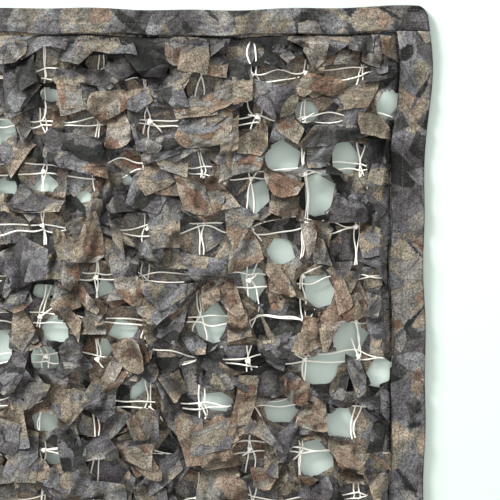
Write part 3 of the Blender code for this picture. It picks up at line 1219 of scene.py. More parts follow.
CORNER_LEAVES = tuple(SetLeaf(*row) for row in (
    (0.390, 0.030, -95, 0.085, 0.055, 0.60), (0.414, 0.055, -20, 0.036, 0.049, 0.50),
    (0.394, 0.079, -25, 0.041, 0.068, 0.36), (0.368, 0.096, -60, 0.036, 0.041, 0.66, TONGUE),
    (0.383, 0.048, -75, 0.036, 0.047, 0.72, TONGUE), (0.330, 0.060, -90, 0.063, 0.055, 0.08),
    (0.302, 0.046, -90, 0.027, 0.047, 0.74, TONGUE), (0.278, 0.052, -90, 0.033, 0.047, 0.62),
    (0.236, 0.100, -85, 0.057, 0.071, 0.68), (0.368, 0.110, -170, 0.041, 0.077, 0.80),
    (0.370, 0.144, -90, 0.033, 0.047, 0.78, TONGUE), (0.304, 0.105, -60, 0.036, 0.049, 0.34),
    (0.275, 0.117, -95, 0.047, 0.036, 0.62), (0.264, 0.151, -88, 0.060, 0.055, 0.64, TONGUE),
    (0.330, 0.162, -100, 0.049, 0.030, 0.36, TONGUE), (0.414, 0.160, -62, 0.047, 0.060, 0.18, TONGUE),
    (0.313, 0.172, -80, 0.060, 0.047, 0.30), (0.409, 0.194, -100, 0.047, 0.047, 0.56),
    (0.239, 0.158, -80, 0.038, 0.057, 0.72), (0.366, 0.164, -90, 0.047, 0.047, 0.30),
    (0.359, 0.069, -50, 0.041, 0.047, 0.40), (0.270, 0.074, -90, 0.049, 0.030, 0.78),
    (0.253, 0.050, -70, 0.041, 0.036, 0.58), (0.426, 0.110, -80, 0.033, 0.041, 0.70),
    (0.128, 0.050, -90, 0.044, 0.060, 0.90, TONGUE), (0.169, 0.055, -88, 0.052, 0.052, 0.24, WEDGE),
    (0.222, 0.091, -92, 0.030, 0.052, 0.72), (0.143, 0.091, -60, 0.036, 0.052, 0.72),
    (0.178, 0.105, -92, 0.063, 0.060, 0.32, TONGUE), (0.104, 0.096, 118, 0.063, 0.063, 0.66, WEDGE),
    (0.114, 0.115, -150, 0.027, 0.049, 0.42), (0.065, 0.134, -70, 0.041, 0.047, 0.72),
    (0.049, 0.048, -90, 0.030, 0.047, 0.80), (0.073, 0.057, -90, 0.036, 0.041, 0.66),
    (0.078, 0.038, -90, 0.041, 0.030, 0.32), (0.204, 0.159, -95, 0.049, 0.049, 0.70),
    (0.167, 0.151, -140, 0.047, 0.047, 0.62), (0.109, 0.148, -90, 0.074, 0.044, 0.20),
    (0.131, 0.172, -95, 0.044, 0.049, 0.46), (0.109, 0.192, -85, 0.027, 0.068, 0.16),
    (0.210, 0.182, -80, 0.049, 0.036, 0.70), (0.169, 0.206, -100, 0.047, 0.055, 0.82, TONGUE),
    (0.055, 0.201, -85, 0.033, 0.049, 0.46), (0.044, 0.158, -90, 0.025, 0.057, 0.28),
    (0.096, 0.064, -90, 0.033, 0.041, 0.60), (0.036, 0.104, -90, 0.019, 0.068, 0.44),
    (0.278, 0.222, -85, 0.052, 0.068, 0.64), (0.263, 0.237, -80, 0.041, 0.038, 0.56, TONGUE),
    (0.404, 0.278, -90, 0.057, 0.074, 0.74, WEDGE), (0.360, 0.273, -92, 0.049, 0.063, 0.38),
    (0.318, 0.273, -75, 0.060, 0.060, 0.50), (0.354, 0.304, -90, 0.047, 0.036, 0.30),
    (0.352, 0.336, -80, 0.047, 0.063, 0.84, TONGUE), (0.408, 0.355, -80, 0.055, 0.066, 0.80, WEDGE),
    (0.308, 0.331, -65, 0.063, 0.055, 0.40), (0.264, 0.345, -82, 0.036, 0.047, 0.76, TONGUE),
    (0.236, 0.343, -88, 0.033, 0.049, 0.74, TONGUE), (0.301, 0.381, -90, 0.047, 0.055, 0.30),
    (0.395, 0.388, -90, 0.057, 0.055, 0.76), (0.232, 0.379, -85, 0.036, 0.060, 0.72),
    (0.361, 0.403, -92, 0.047, 0.063, 0.82, TONGUE), (0.330, 0.350, -70, 0.047, 0.055, 0.46),
    (0.330, 0.292, -80, 0.047, 0.047, 0.34), (0.270, 0.304, -95, 0.055, 0.047, 0.42),
    (0.426, 0.304, -90, 0.033, 0.068, 0.62), (0.328, 0.392, -80, 0.036, 0.047, 0.44),
    (0.421, 0.374, -90, 0.030, 0.055, 0.56), (0.218, 0.292, -70, 0.060, 0.115, 0.72, WEDGE),
    (0.169, 0.240, -72, 0.063, 0.049, 0.86, WEDGE), (0.097, 0.242, -90, 0.060, 0.044, 0.16),
    (0.059, 0.273, -90, 0.049, 0.068, 0.50), (0.143, 0.276, -90, 0.030, 0.047, 0.80, TONGUE),
    (0.114, 0.292, -88, 0.060, 0.041, 0.34), (0.104, 0.336, -72, 0.041, 0.071, 0.68),
    (0.059, 0.312, -90, 0.047, 0.036, 0.40), (0.061, 0.355, -90, 0.041, 0.041, 0.30),
    (0.095, 0.360, -60, 0.038, 0.044, 0.78), (0.186, 0.366, -20, 0.038, 0.057, 0.38),
    (0.179, 0.393, -80, 0.047, 0.041, 0.48), (0.131, 0.396, -85, 0.047, 0.057, 0.64),
    (0.181, 0.319, -55, 0.036, 0.071, 0.58), (0.150, 0.340, -85, 0.030, 0.060, 0.44),
    (0.064, 0.386, -90, 0.033, 0.068, 0.52), (0.049, 0.404, -90, 0.030, 0.049, 0.66),
    (0.377, 0.441, 55, 0.018, 0.047, 0.76, TONGUE), (0.364, 0.446, 58, 0.016, 0.047, 0.74, TONGUE),
    (0.330, 0.433, -90, 0.025, 0.038, 0.44, TONGUE), (0.335, 0.496, -175, 0.055, 0.107, 0.70),
    (0.282, 0.506, -85, 0.038, 0.098, 0.68), (0.392, 0.474, -70, 0.049, 0.055, 0.34),
    (0.395, 0.518, -80, 0.047, 0.066, 0.32, WEDGE), (0.356, 0.528, -95, 0.063, 0.036, 0.76),
    (0.330, 0.552, -50, 0.022, 0.047, 0.74, TONGUE), (0.308, 0.561, -80, 0.044, 0.041, 0.32),
    (0.248, 0.537, -85, 0.052, 0.052, 0.66), (0.253, 0.444, -90, 0.060, 0.047, 0.44, WEDGE),
    (0.248, 0.504, -90, 0.055, 0.055, 0.56), (0.420, 0.484, -90, 0.036, 0.047, 0.66),
    (0.308, 0.451, -70, 0.036, 0.052, 0.66), (0.420, 0.530, -90, 0.036, 0.049, 0.24),
    (0.378, 0.578, -90, 0.055, 0.041, 0.60), (0.330, 0.580, -90, 0.047, 0.036, 0.50),
    (0.260, 0.571, -90, 0.041, 0.047, 0.46), (0.420, 0.416, -75, 0.036, 0.049, 0.34),
    (0.276, 0.404, -90, 0.036, 0.055, 0.42), (0.221, 0.472, -85, 0.047, 0.093, 0.72),
    (0.186, 0.417, -65, 0.041, 0.068, 0.34, WEDGE), (0.162, 0.457, -90, 0.036, 0.038, 0.78),
    (0.131, 0.499, -90, 0.055, 0.047, 0.82), (0.166, 0.518, -80, 0.036, 0.060, 0.34),
    (0.096, 0.475, 90, 0.055, 0.036, 0.38, TONGUE), (0.085, 0.537, -90, 0.063, 0.052, 0.80),
    (0.102, 0.456, -85, 0.041, 0.041, 0.42), (0.139, 0.554, -80, 0.033, 0.036, 0.78, TONGUE),
    (0.061, 0.518, -90, 0.036, 0.049, 0.20), (0.232, 0.564, -90, 0.060, 0.041, 0.74),
    (0.088, 0.432, -68, 0.025, 0.055, 0.44), (0.044, 0.482, -88, 0.027, 0.068, 0.38),
    (0.040, 0.530, -90, 0.025, 0.068, 0.66), (0.186, 0.540, -80, 0.030, 0.047, 0.46),
    (0.126, 0.578, -90, 0.060, 0.033, 0.20), (0.059, 0.576, -90, 0.041, 0.041, 0.60),
    (0.196, 0.506, -75, 0.047, 0.060, 0.58), (0.150, 0.422, -88, 0.041, 0.047, 0.46),
    (0.108, 0.386, -75, 0.038, 0.049, 0.72), (0.196, 0.564, -90, 0.041, 0.030, 0.70),
    (0.044, 0.350, -90, 0.022, 0.082, 0.46),
))


class GapPlan:
    """All the gaps of the net."""

    box_share = 0.64             # of a gap's size, for its stated box
    chance = 0.5
    least_inside = 0.028
    widths, heights = (0.012, 0.034), (0.011, 0.030)

    def __init__(self, plan: NetPlan, record: dict) -> None:
        """Collect the stated gaps, the small ones and those of the far parts.

        Args:
            plan: the net's layout.
            record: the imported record, whose openings are the stated gaps.
        """
        self.plan = plan
        self.gaps = [self.stated(opening) for opening in record["physics"]["openings"]]
        self.gaps += [placed_gap(plan, small) for small in SMALL_GAPS]
        self.gaps += self.far_gaps(random.Random(SEED + 1))

    def stated(self, opening: dict) -> Gap:
        """Draw the gap round one stated opening.

        Args:
            opening: the record's opening.

        Returns:
            The gap.
        """
        low, high = opening["box_m"]
        return Gap((low[0] + high[0]) / 2, (low[1] + high[1]) / 2,
                   (high[0] - low[0]) / self.box_share, (high[1] - low[1]) / self.box_share,
                   uneven=0.06)

    def far_gaps(self, pick: random.Random) -> list[Gap]:
        """Scatter gaps beside the crossings of the rest of the net.

        Args:
            pick: source of random numbers.

        Returns:
            The gaps.
        """
        plan = self.plan
        gaps = []
        for row in range(plan.rows):
            for column in range(plan.columns):
                x = plan.column_x(column)
                y = plan.row_y(row)
                if plan.hand_set(x, y) or pick.random() > self.chance:
                    continue
                x, y = plan.lay(x + pick.gauss(0.012, 0.009), y + pick.gauss(-0.014, 0.009))
                if plan.inside(x, y) < self.least_inside:
                    continue
                gaps.append(Gap(float(x), float(y), pick.uniform(*self.widths),
                                pick.uniform(*self.heights), uneven=0.10))
        return gaps


@dataclass(frozen=True)
class Crossing:
    """Where two mesh lines cross."""

    x: float
    y: float
    window: Gap | None


class MeshPlan:
    """The mesh's crossings, and the windows in the front leaves round them."""

    chance = 0.82                # that a crossing has a window
    wander_x, wander_y = 0.0022, 0.0025
    widths, heights = (0.028, 0.054), (0.020, 0.044)
    overlap = 0.01               # of the far windows with the corner of listed leaves

    def __init__(self, plan: NetPlan) -> None:
        """Place the crossings.

        Args:
            plan: the net's layout.
        """
        pick = random.Random(SEED + 2)
        self.crossings: dict[tuple[int, int], Crossing] = {}
        self.set_windows = [placed_gap(plan, window) for window in CORNER_WINDOWS]
        self.hollows = [placed_gap(plan, hollow) for hollow in CORNER_HOLLOWS]
        for row in range(plan.rows):
            for column in range(plan.columns):
                x, y = plan.lay(plan.column_x(column) + pick.gauss(0, self.wander_x),
                                plan.row_y(row) + pick.gauss(0, self.wander_y))
                x, y = float(x), float(y)
                window = None
                near = plan.hand_set(x - self.overlap, y - self.overlap)
                if pick.random() < self.chance and not near:
                    window = Gap(x + pick.gauss(0.002, 0.008), y + pick.gauss(-0.003, 0.008),
                                 pick.uniform(*self.widths), pick.uniform(*self.heights),
                                 uneven=0.11)
                self.crossings[row, column] = Crossing(x, y, window)

    def windows(self) -> list[Gap]:
        """Return the windows of all crossings."""
        return self.set_windows + [c.window for c in self.crossings.values() if c.window]


@dataclass
class LeafSetter:
    """Sets leaves over the whole net."""

    plan: NetPlan
    cloth: GarnishCloth
    mesh: MeshPlan

    under_step = 0.034
    # Under leaves this near a hollow get a near-black tone: painted shade in the hollow.
    hollow_reach = 0.02
    hollow_shade_tone = 0.05
    cloth_share = 0.75           # of a front leaf's tone
    front_spots = ((0.5, 0.0), (0.0, 0.5), (0.5, 0.5), (0.3, 0.75))    # in mesh squares

    def under_leaves(self) -> list[Leaf]:
        """Set the leaves of the under layer.

        Returns:
            The leaves, the lowest first.
        """
        maker = LeafMaker(UNDER_LAYER)
        plan = self.plan
        leaves = []
        wide, long = plan.opening
        rows, columns = round(long / self.under_step), round(wide / self.under_step)
        for row in range(rows + 1):
            for column in range(columns + 1):
                x, y = plan.lay((column / columns - 0.5) * wide
                                + (row % 2 - 0.5) * self.under_step / 2, (row / rows - 0.5) * long)
                leaf = maker.leaf(float(x), float(y))
                self.cloth.trim(leaf, self.cloth.gaps, (1.0, 1.12), maker.pick)
                self.cloth.trim_to_bands(leaf, -0.007)
                # Painted shade: under leaves beside a hollow are given a near-black tone.
                for hollow in self.mesh.hollows:
                    if math.hypot(leaf.x - hollow.x, leaf.y - hollow.y) < self.hollow_reach:
                        leaf.tone = self.hollow_shade_tone
                leaves.append(leaf)
        leaves.sort(key=lambda leaf: leaf.y + maker.pick.uniform(-0.05, 0.05))
        return leaves

    def front_leaves(self) -> list[Leaf]:
        """Set the leaves in front of the mesh.

        Returns:
            The leaves, the lowest first.
        """
        maker = LeafMaker(FRONT_LAYER)
        plan = self.plan
        windows = self.mesh.windows()
        leaves = []
        for row in range(-1, plan.rows + 1):
            for column in range(-1, plan.columns + 1):
                for step_x, step_y in self.front_spots:
                    x, y = plan.lay(plan.column_x(column + step_x), plan.row_y(row + step_y))
                    if plan.inside(x, y) < 0.004:
                        continue
                    leaf = maker.leaf(float(x), float(y))
                    self.cloth.trim(leaf, self.cloth.gaps, (0.95, 1.15), maker.pick)
                    self.cloth.trim(leaf, windows, (0.72, 1.0), maker.pick)
                    self.cloth.trim(leaf, self.mesh.hollows, (0.8, 1.0), maker.pick)
                    self.cloth.trim_to_bands(leaf, maker.pick.uniform(0.0, 0.002))
                    tone = float(self.cloth.tone.at(np.array([(leaf.x, leaf.y)]))[0])
                    leaf.tone = (self.cloth_share * (tone + maker.pick.gauss(0, 0.09))
                                 + (1 - self.cloth_share) * leaf.tone)
                    leaves.append(leaf)
        leaves.sort(key=lambda leaf: leaf.y + maker.pick.uniform(-0.03, 0.03))
        return leaves + self.corner_leaves(maker)

    def corner_leaves(self, maker: LeafMaker) -> list[Leaf]:
        """Set the listed leaves over the top right part.

        Args:
            maker: what cuts them.

        Returns:
            The leaves, the lowest first.
        """
        plan = self.plan
        leaves = []
        for placed in CORNER_LEAVES:
            x, y = plan.from_corner(placed.from_right, placed.from_top)
            leaf = maker.set_leaf(float(x), float(y), placed)
            self.cloth.trim(leaf, self.cloth.gaps, (0.92, 1.05), maker.pick)
            self.cloth.trim(leaf, self.mesh.set_windows, (0.62, 0.85), maker.pick)
            self.cloth.trim_to_bands(leaf, maker.pick.uniform(0.0, 0.002))
            leaves.append(leaf)
        leaves.sort(key=lambda leaf: leaf.y + maker.pick.uniform(-0.02, 0.02))
        return leaves


# ---------------- cord mesh


@dataclass
class CordMesh:
    """The cream cords behind the front leaves: pairs along rows and columns, and knots."""

    plan: NetPlan
    mesh: MeshPlan
    relief: Relief
    radius: float = 0.00092
    column_spread: float = 0.0042
    row_spread: float = 0.0074
    knot_spread: float = 0.0014
    point_step: float = 0.004
    lowest: float = 0.0064
    knot_size: float = 0.0026
    bow: float = 0.0036
    wobble: float = 0.0012
    bed_reach: float = 0.004
    rise: float = 2.2            # over what lies beneath, in radii
    tucked: float = 0.0011       # height under the bands
    mouth_slope: float = 0.5
    tuck: float = 0.006          # of the ends under the bands
    tail_length: tuple[float, float] = (0.010, 0.026)
    knot_chance: float = 0.6
    tail_chance: float = 0.55

    def route(self, stops: list[tuple[float, float]], side: float, spread: float,
              pick: random.Random) -> Array:
        """Lead one cord of a pair from stop to stop.

        Args:
            stops: the crossings that it passes.
            side: -1 or 1, the side of the pair that it lies on.
            spread: how far it stands off between crossings.
            pick: source of random numbers.

        Returns:
            The cord's points, flat.
        """
        points = []
        off = side * self.knot_spread
        for (x, y), (next_x, next_y) in zip(stops, stops[1:]):
            length = math.hypot(next_x - x, next_y - y)
            steps = max(4, round(length / self.point_step))
            next_off = side * pick.choice((0.2, 0.5, 1.0)) * spread * pick.uniform(0.7, 1.3)
            bow = pick.gauss(0, self.bow)
            wobble = pick.gauss(0, self.wobble)
            for step in range(steps):
                share = step / steps
                aside = off + (next_off - off) * ramp(share, 1.0) + bow * math.sin(math.pi * share)
                aside += wobble * math.sin(3 * math.pi * share)
                points.append((x + (next_x - x) * share - (next_y - y) / length * aside,
                               y + (next_y - y) * share + (next_x - x) / length * aside))
            off = next_off
        points.append(stops[-1])
        return np.array(points)

    def heights(self, places: Array) -> Array:
        """Lay a cord over what is beneath it, as taut as its knots allow.

        Args:
            places: the cord's points, one row each.

        Returns:
            The height of each point.
        """
        bed = self.relief.soft_top(places, self.bed_reach)
        height = np.maximum(bed + self.radius * self.rise, self.lowest)
        for _ in range(6):
            middle = (height[:-2] + height[2:]) / 2
            height[1:-1] = np.maximum(height[1:-1] * 0.5 + middle * 0.5, self.lowest)
        inside = self.plan.inside(places[:, 0], places[:, 1])
        mouth = np.minimum(height, 0.0020 + inside * self.mouth_slope)
        return np.where(inside < 0.005, self.tucked, mouth)

    def stops(self, lines: list[Crossing], along_rows: bool) -> list[tuple[float, float]]:
        """List the stops of one mesh line, its ends tucked under the bands.

        Args:
            lines: the crossings that it passes.
            along_rows: whether it runs across the net.

        Returns:
            The stops.
        """
        stops = [(crossing.x, crossing.y) for crossing in lines]
        shift_x, shift_y = self.plan.shift
        if along_rows:
            end = self.plan.width / 2 - self.plan.side_band + self.tuck
            return [(end + shift_x, stops[0][1]), *stops, (shift_x - end, stops[-1][1])]
        end = self.plan.length / 2 - self.plan.end_band + self.tuck
        return [(stops[0][0], end + shift_y), *stops, (stops[-1][0], shift_y - end)]

    def tube(self, name: str, routes: list[Array], closed: bool = False) -> Piece:
        """Make cords along routes as one mesh.

        Args:
            name: the piece's name.
            routes: points of each cord in the frame.
            closed: whether each cord closes on itself.

        Returns:
            The piece.
        """
        curve = bpy.data.curves.new(name, "CURVE")
        curve.dimensions = "3D"
        curve.bevel_depth = self.radius
        curve.bevel_resolution = 1
        curve.use_fill_caps = True
        for route in routes:
            spline = curve.splines.new("POLY")
            spline.points.add(len(route) - 1)
            spline.points.foreach_set("co", np.column_stack([route, np.ones(len(route))]).ravel())
            spline.use_cyclic_u = closed
        source = bpy.data.objects.new(name + "_route", curve)
        bpy.context.scene.collection.objects.link(source)
        evaluated = source.evaluated_get(bpy.context.evaluated_depsgraph_get())
        mesh = bpy.data.meshes.new_from_object(evaluated)
        bpy.data.objects.remove(source)
        shape = bmesh.new()
        shape.from_mesh(mesh)
        bpy.data.meshes.remove(mesh)
        bmesh.ops.remove_doubles(shape, verts=shape.verts[:], dist=1e-6)
        return new_piece(name, shape)

    def make_lines(self, name: str, along_rows: bool) -> Piece:
        """Make the pairs of cords that run one way.

        Args:
            name: the piece's name.
            along_rows: whether they run across the net.

        Returns:
            The piece.
        """
        pick = random.Random(SEED + 3 + along_rows)
        plan, cells = self.plan, self.mesh.crossings
        spread = self.row_spread if along_rows else self.column_spread
        if along_rows:
            lines = [[cells[row, column] for column in range(plan.columns)]
                     for row in range(plan.rows)]
        else:
            lines = [[cells[row, column] for row in range(plan.rows)]
                     for column in range(plan.columns)]
        routes = []
        for line in lines:
            for side in (-1, 1):
                flat = self.route(self.stops(line, along_rows), side, spread, pick)
                routes.append(np.column_stack([flat, self.heights(flat)]))
        for route in routes:
            self.relief.pile(route[:, :2], route[:, 2] + self.radius, spread=1)
        return self.tube(name, routes)

    def knot(self, crossing: Crossing, pick: random.Random) -> Array:
        """Tie one knot: a small overhand turn over a crossing.

        Args:
            crossing: the crossing.
            pick: source of random numbers.

        Returns:
            The knot's points.
        """
        turn = np.linspace(0, math.tau, 22, endpoint=False)
        size = self.knot_size * pick.uniform(0.8, 1.2) / 3
        x = (np.sin(turn) + 2 * np.sin(2 * turn)) * size
        y = (np.cos(turn) - 2 * np.cos(2 * turn)) * size
        z = -np.sin(3 * turn) * self.radius * 0.9
        spin = pick.uniform(0, math.tau)
        height = self.heights(np.array([[crossing.x, crossing.y]]))[0] + self.radius
        x, y = turned(x, y, spin)
        return np.column_stack([crossing.x + x, crossing.y + y, height + z])

    def tail(self, crossing: Crossing, pick: random.Random) -> Array:
        """Leave one short free end beside a knot.

        Args:
            crossing: the knot's crossing.
            pick: source of random numbers.

        Returns:
            The end's points.
        """
        heading = pick.uniform(0, math.tau)
        bow = pick.uniform(-1.1, 1.1)
        length = pick.uniform(*self.tail_length)
        share = np.linspace(0, 1, 7)
        course = heading + bow * share
        steps = np.column_stack([np.cos(course), np.sin(course)]) * length / 6
        steps[0] = 0
        flat = np.array([crossing.x, crossing.y]) + np.cumsum(steps, 0)
        return np.column_stack([flat, self.heights(flat) + self.radius * 0.6])

    def make_knots(self) -> list[Piece]:
        """Make the knots and their free ends.

        Returns:
            The two pieces.
        """
        pick = random.Random(SEED + 6)
        crossings = list(self.mesh.crossings.values())
        knots = [self.knot(crossing, pick) for crossing in crossings
                 if pick.random() < self.knot_chance]
        tails = [self.tail(crossing, pick) for crossing in crossings
                 if pick.random() < self.tail_chance]
        return [self.tube("mesh_knots", knots, closed=True), self.tube("mesh_tails", tails)]


# ---------------- edge bands


class Side(Enum):
    """The side of the net that a band binds."""

    TOP = "band_top"
    BOTTOM = "band_bottom"
    LEFT = "band_left"
    RIGHT = "band_right"


TOP, BOTTOM, LEFT, RIGHT = Side


@dataclass(frozen=True)
class BandPatch:
    """One large printed leaf on a band, from its corner end and its outer edge."""

    start: float
    inset: float
    heading: float
    width: float
    length: float
    tone: float


SIDE_PATCHES = tuple(BandPatch(*row) for row in (
    (0.212, 0.019, 0, 0.080, 0.135, 0.29), (0.334, 0.019, 0, 0.090, 0.132, 0.66),
    (0.444, 0.019, 0, 0.090, 0.130, 0.31), (0.096, 0.018, 5, 0.028, 0.072, 0.64),
    (0.056, 0.031, 40, 0.014, 0.022, 0.09), (0.103, 0.014, 25, 0.006, 0.056, 0.03),
    (0.132, 0.012, 12, 0.016, 0.040, 0.52), (0.176, 0.014, 0, 0.020, 0.028, 0.17),
    (0.199, 0.012, -30, 0.010, 0.022, 0.12), (0.250, 0.010, 4, 0.024, 0.050, 0.42),
    (0.287, 0.012, -42, 0.005, 0.040, 0.02), (0.378, 0.020, 45, 0.006, 0.060, 0.02),
    (0.452, 0.009, 3, 0.014, 0.046, 0.67), (0.477, 0.015, 20, 0.020, 0.022, 0.20),
    (0.501, 0.014, 80, 0.007, 0.018, 0.08), (0.536, 0.022, -20, 0.024, 0.060, 0.50),
    (0.571, 0.019, -38, 0.006, 0.056, 0.03),
))
END_PATCHES = tuple(BandPatch(*row) for row in (
    (0.408, 0.016, 0, 0.080, 0.066, 0.60), (0.330, 0.011, 0, 0.034, 0.044, 0.28),
    (0.365, 0.026, 8, 0.022, 0.048, 0.33), (0.357, 0.015, -37, 0.012, 0.066, 0.03),
    (0.304, 0.019, 10, 0.024, 0.030, 0.50), (0.280, 0.015, 80, 0.022, 0.044, 0.23),
    (0.250, 0.018, -15, 0.030, 0.042, 0.47), (0.256, 0.006, -40, 0.005, 0.024, 0.05),
    (0.222, 0.010, 20, 0.014, 0.034, 0.36), (0.180, 0.018, 5, 0.026, 0.048, 0.55),
    (0.148, 0.012, 20, 0.010, 0.024, 0.18), (0.109, 0.014, 10, 0.038, 0.038, 0.60),
    (0.091, 0.007, -50, 0.006, 0.026, 0.03), (0.068, 0.016, 0, 0.040, 0.050, 0.70),
    (0.024, 0.014, 30, 0.034, 0.040, 0.44), (0.045, 0.010, -32, 0.006, 0.034, 0.03),
    (0.014, 0.004, 15, 0.009, 0.022, 0.10), (0.040, 0.024, 75, 0.007, 0.016, 0.08),
))


@dataclass
class EdgeBand:
    """One strip of cloth folded over the net's edge and stitched."""

    plan: NetPlan
    side: Side
    cloth: float = 0.0008
    mouth: float = 0.0022
    step: float = 0.0029
    corner_gap: float = 0.0006
    corner_round: float = 0.011
    seam_in: float = 0.0135
    roll_in: float = 0.0055
    # Rise over which a pucker is painted from shade to light.
    painted_shade_rise: float = 0.0050
    fold_share: float = 0.16
    crease_share: float = 0.34
    end_tone: float = 0.31
    side_tone: float = 0.49
    # Painted shade on the band: flat cloth is painted darker by these, which also darken the band's own
    # cloth, and lighter as its puckers rise.
    end_painted_shade: float = 1.13      # depth that flat cloth is shaded with
    side_painted_shade: float = 0.95
    puckers: tuple[tuple[float, float, float], ...] = (    # their lengths, depths and slants
        (0.045, 0.0006, 0.5), (0.019, 0.0003, -0.4), (0.011, 0.00022, 0.9), (0.093, 0.0007, -0.2))

    @property
    def ends(self) -> bool:
        """Return whether the band is an end band."""
        return self.side in (TOP, BOTTOM)

    @property
    def width(self) -> float:
        """Return how wide the folded band is."""
        return self.plan.end_band if self.ends else self.plan.side_band

    @property
    def length(self) -> float:
        """Measure the band between its ends.

        Returns:
            The length.
        """
        if self.ends:
            return self.plan.width
        return self.plan.length - 2 * (self.plan.end_band + self.corner_gap)

    def to_net(self, along: Array, inset: Array) -> Pair:
        """Place points of the band in the square-cut net.

        Args:
            along: places along the band from its middle.
            inset: distances in from the fold.

        Returns:
            Their places across and along the net.
        """
        half_x, half_y = self.plan.width / 2, self.plan.length / 2
        return {
            TOP: (along, half_y - inset),
            BOTTOM: (-along, inset - half_y),
            LEFT: (inset - half_x, along),
            RIGHT: (half_x - inset, -along),
        }[self.side]

    def section(self) -> Array:
        """Fold the section: lower layer, fold and upper layer.

        Returns:
            Its points, as distance in from the fold and height.
        """
        low = self.cloth / 2
        high = self.cloth * 1.5 + self.mouth
        bend = (high - low) / 2
        turn = np.radians(np.linspace(80, -80, 5))
        fold = np.column_stack([bend - bend * np.cos(turn), (low + high) / 2 - bend * np.sin(turn)])
        insets = np.linspace(self.width, bend * 1.5, 5)
        lower = np.column_stack([insets, np.full(5, low)])
        insets = np.linspace(bend * 1.5, self.width, 18)
        upper = np.column_stack([insets, np.full(18, high)])
        return np.vstack([lower, fold, upper])

    def places(self, along: Array, inset: Array, height: Array) -> Array:
        """Lay points of the band in the frame.

        Args:
            along: places along the band from its middle.
            inset: distances in from the fold.
            height: heights over the surface.

        Returns:
            The points in the frame, one row each.
        """
        to_end = self.length / 2 - np.abs(along)
        hem = wave_sum(self.plan.hem_waves, along + self.width)
        hem = hem * ramp(to_end - self.plan.side_band, self.plan.pull_depth)
        inset = inset + hem * ramp(inset - self.width / 2, self.width / 2)
        if self.ends:
            past = np.clip(self.corner_round - to_end, 0, self.corner_round)
            drop = self.corner_round - np.sqrt(self.corner_round ** 2 - past ** 2)
            inset = inset + drop * np.clip(1 - inset / self.width, 0, 1)
        x, y = self.plan.lay(*self.to_net(along, inset))
        return np.column_stack([x, y, height])

    def pucker(self, along: Array, inset: Array) -> Array:
        """Raise the band's upper layer in puckers and soft folds, and draw in its seams.

        Args:
            along: places along the band from its middle.
            inset: distances in from the fold.

        Returns:
            The rise at each point.
        """
        phase = {TOP: 0.0, BOTTOM: 1.3, LEFT: 2.9, RIGHT: 4.2}[self.side]
        spots = np.column_stack([along, inset]) + phase * 0.13
        rise = (self.fold_share * (FOLDS.at(spots) + FOLDS.depth)
                + self.crease_share * (CREASES.at(spots) + CREASES.depth))
        for length, depth, slant in self.puckers:
            rise += depth * (1 + np.sin(math.tau * (along + slant * inset) / length + phase))
            phase += 1.1
        seam = np.exp(-((inset - (self.width - self.seam_in)) / 0.0014) ** 2)
        roll = np.exp(-((inset - self.roll_in) / 0.0010) ** 2)
        return rise * (1 - 0.15 * seam) - 0.00004 * (seam + roll)

    def tones(self, along: Array, inset: Array) -> Array:
        """Return the print's tone at points of the band, with its large printed leaves.

        Args:
            along: places along the band from its middle.
            inset: distances in from the fold.

        Returns:
            The tone at each point.
        """
        middle = self.end_tone if self.ends else self.side_tone
        tones = np.array([middle + 0.36 * noise.noise(Vector((x, y, self.width * 90)))
                          for x, y in zip(along * 13, inset * 17)])
        start = self.plan.width / 2 - along if self.ends else self.plan.length / 2 + along
        for patch in END_PATCHES if self.ends else SIDE_PATCHES:
            turn = math.radians(patch.heading)
            long, across = turned(start - patch.start, inset - patch.inset, -turn)
            half = patch.width / 2 * (1 - (2 * long / patch.length) ** 2)
            tones[np.abs(across) < half] = patch.tone
        return tones

    def make(self) -> Piece:
        """Fold the band.

        Returns:
            The piece.
        """
        section = self.section()
        count = max(10, round(self.length / self.step))
        shape = bmesh.new()
        bmesh.ops.create_grid(shape, x_segments=count, y_segments=len(section) - 1, size=0.5)
        points = np.array([vert.co for vert in shape.verts])
        along = points[:, 0] * self.length
        step = np.rint((points[:, 1] + 0.5) * (len(section) - 1)).astype(int)
        inset, height = section[step, 0], section[step, 1]
        upper = height > self.cloth + self.mouth
        height = height + np.where(upper, self.pucker(along, inset), 0)
        laid = self.places(along, inset, height)
        round_fold = np.cumsum(np.hypot(*np.diff(section, axis=0, prepend=section[:1]).T))
        printed = np.column_stack([along, round_fold[step]])
        uv = shape.loops.layers.uv.new("print")
        for vert, point in zip(shape.verts, laid):
            vert.co = point
        for face in shape.faces:
            for loop in face.loops:
                loop[uv].uv = printed[loop.vert.index]
        piece = new_piece(self.side.value + "_strip", shape)
        note_values(piece.data, "tone", self.tones(along, inset))
        # Painted shade in the band's low puckers and painted light on its raised ones, over a darker
        # band cloth.
        low = self.end_painted_shade if self.ends else self.side_painted_shade
        rise = laid[:, 2] - self.cloth * 1.5 - self.mouth
        note_values(piece.data, "deep", low - rise / self.painted_shade_rise)
        wall = piece.modifiers.new("Thickness", "SOLIDIFY")
        wall.thickness = self.cloth
        wall.offset = 0
        return piece


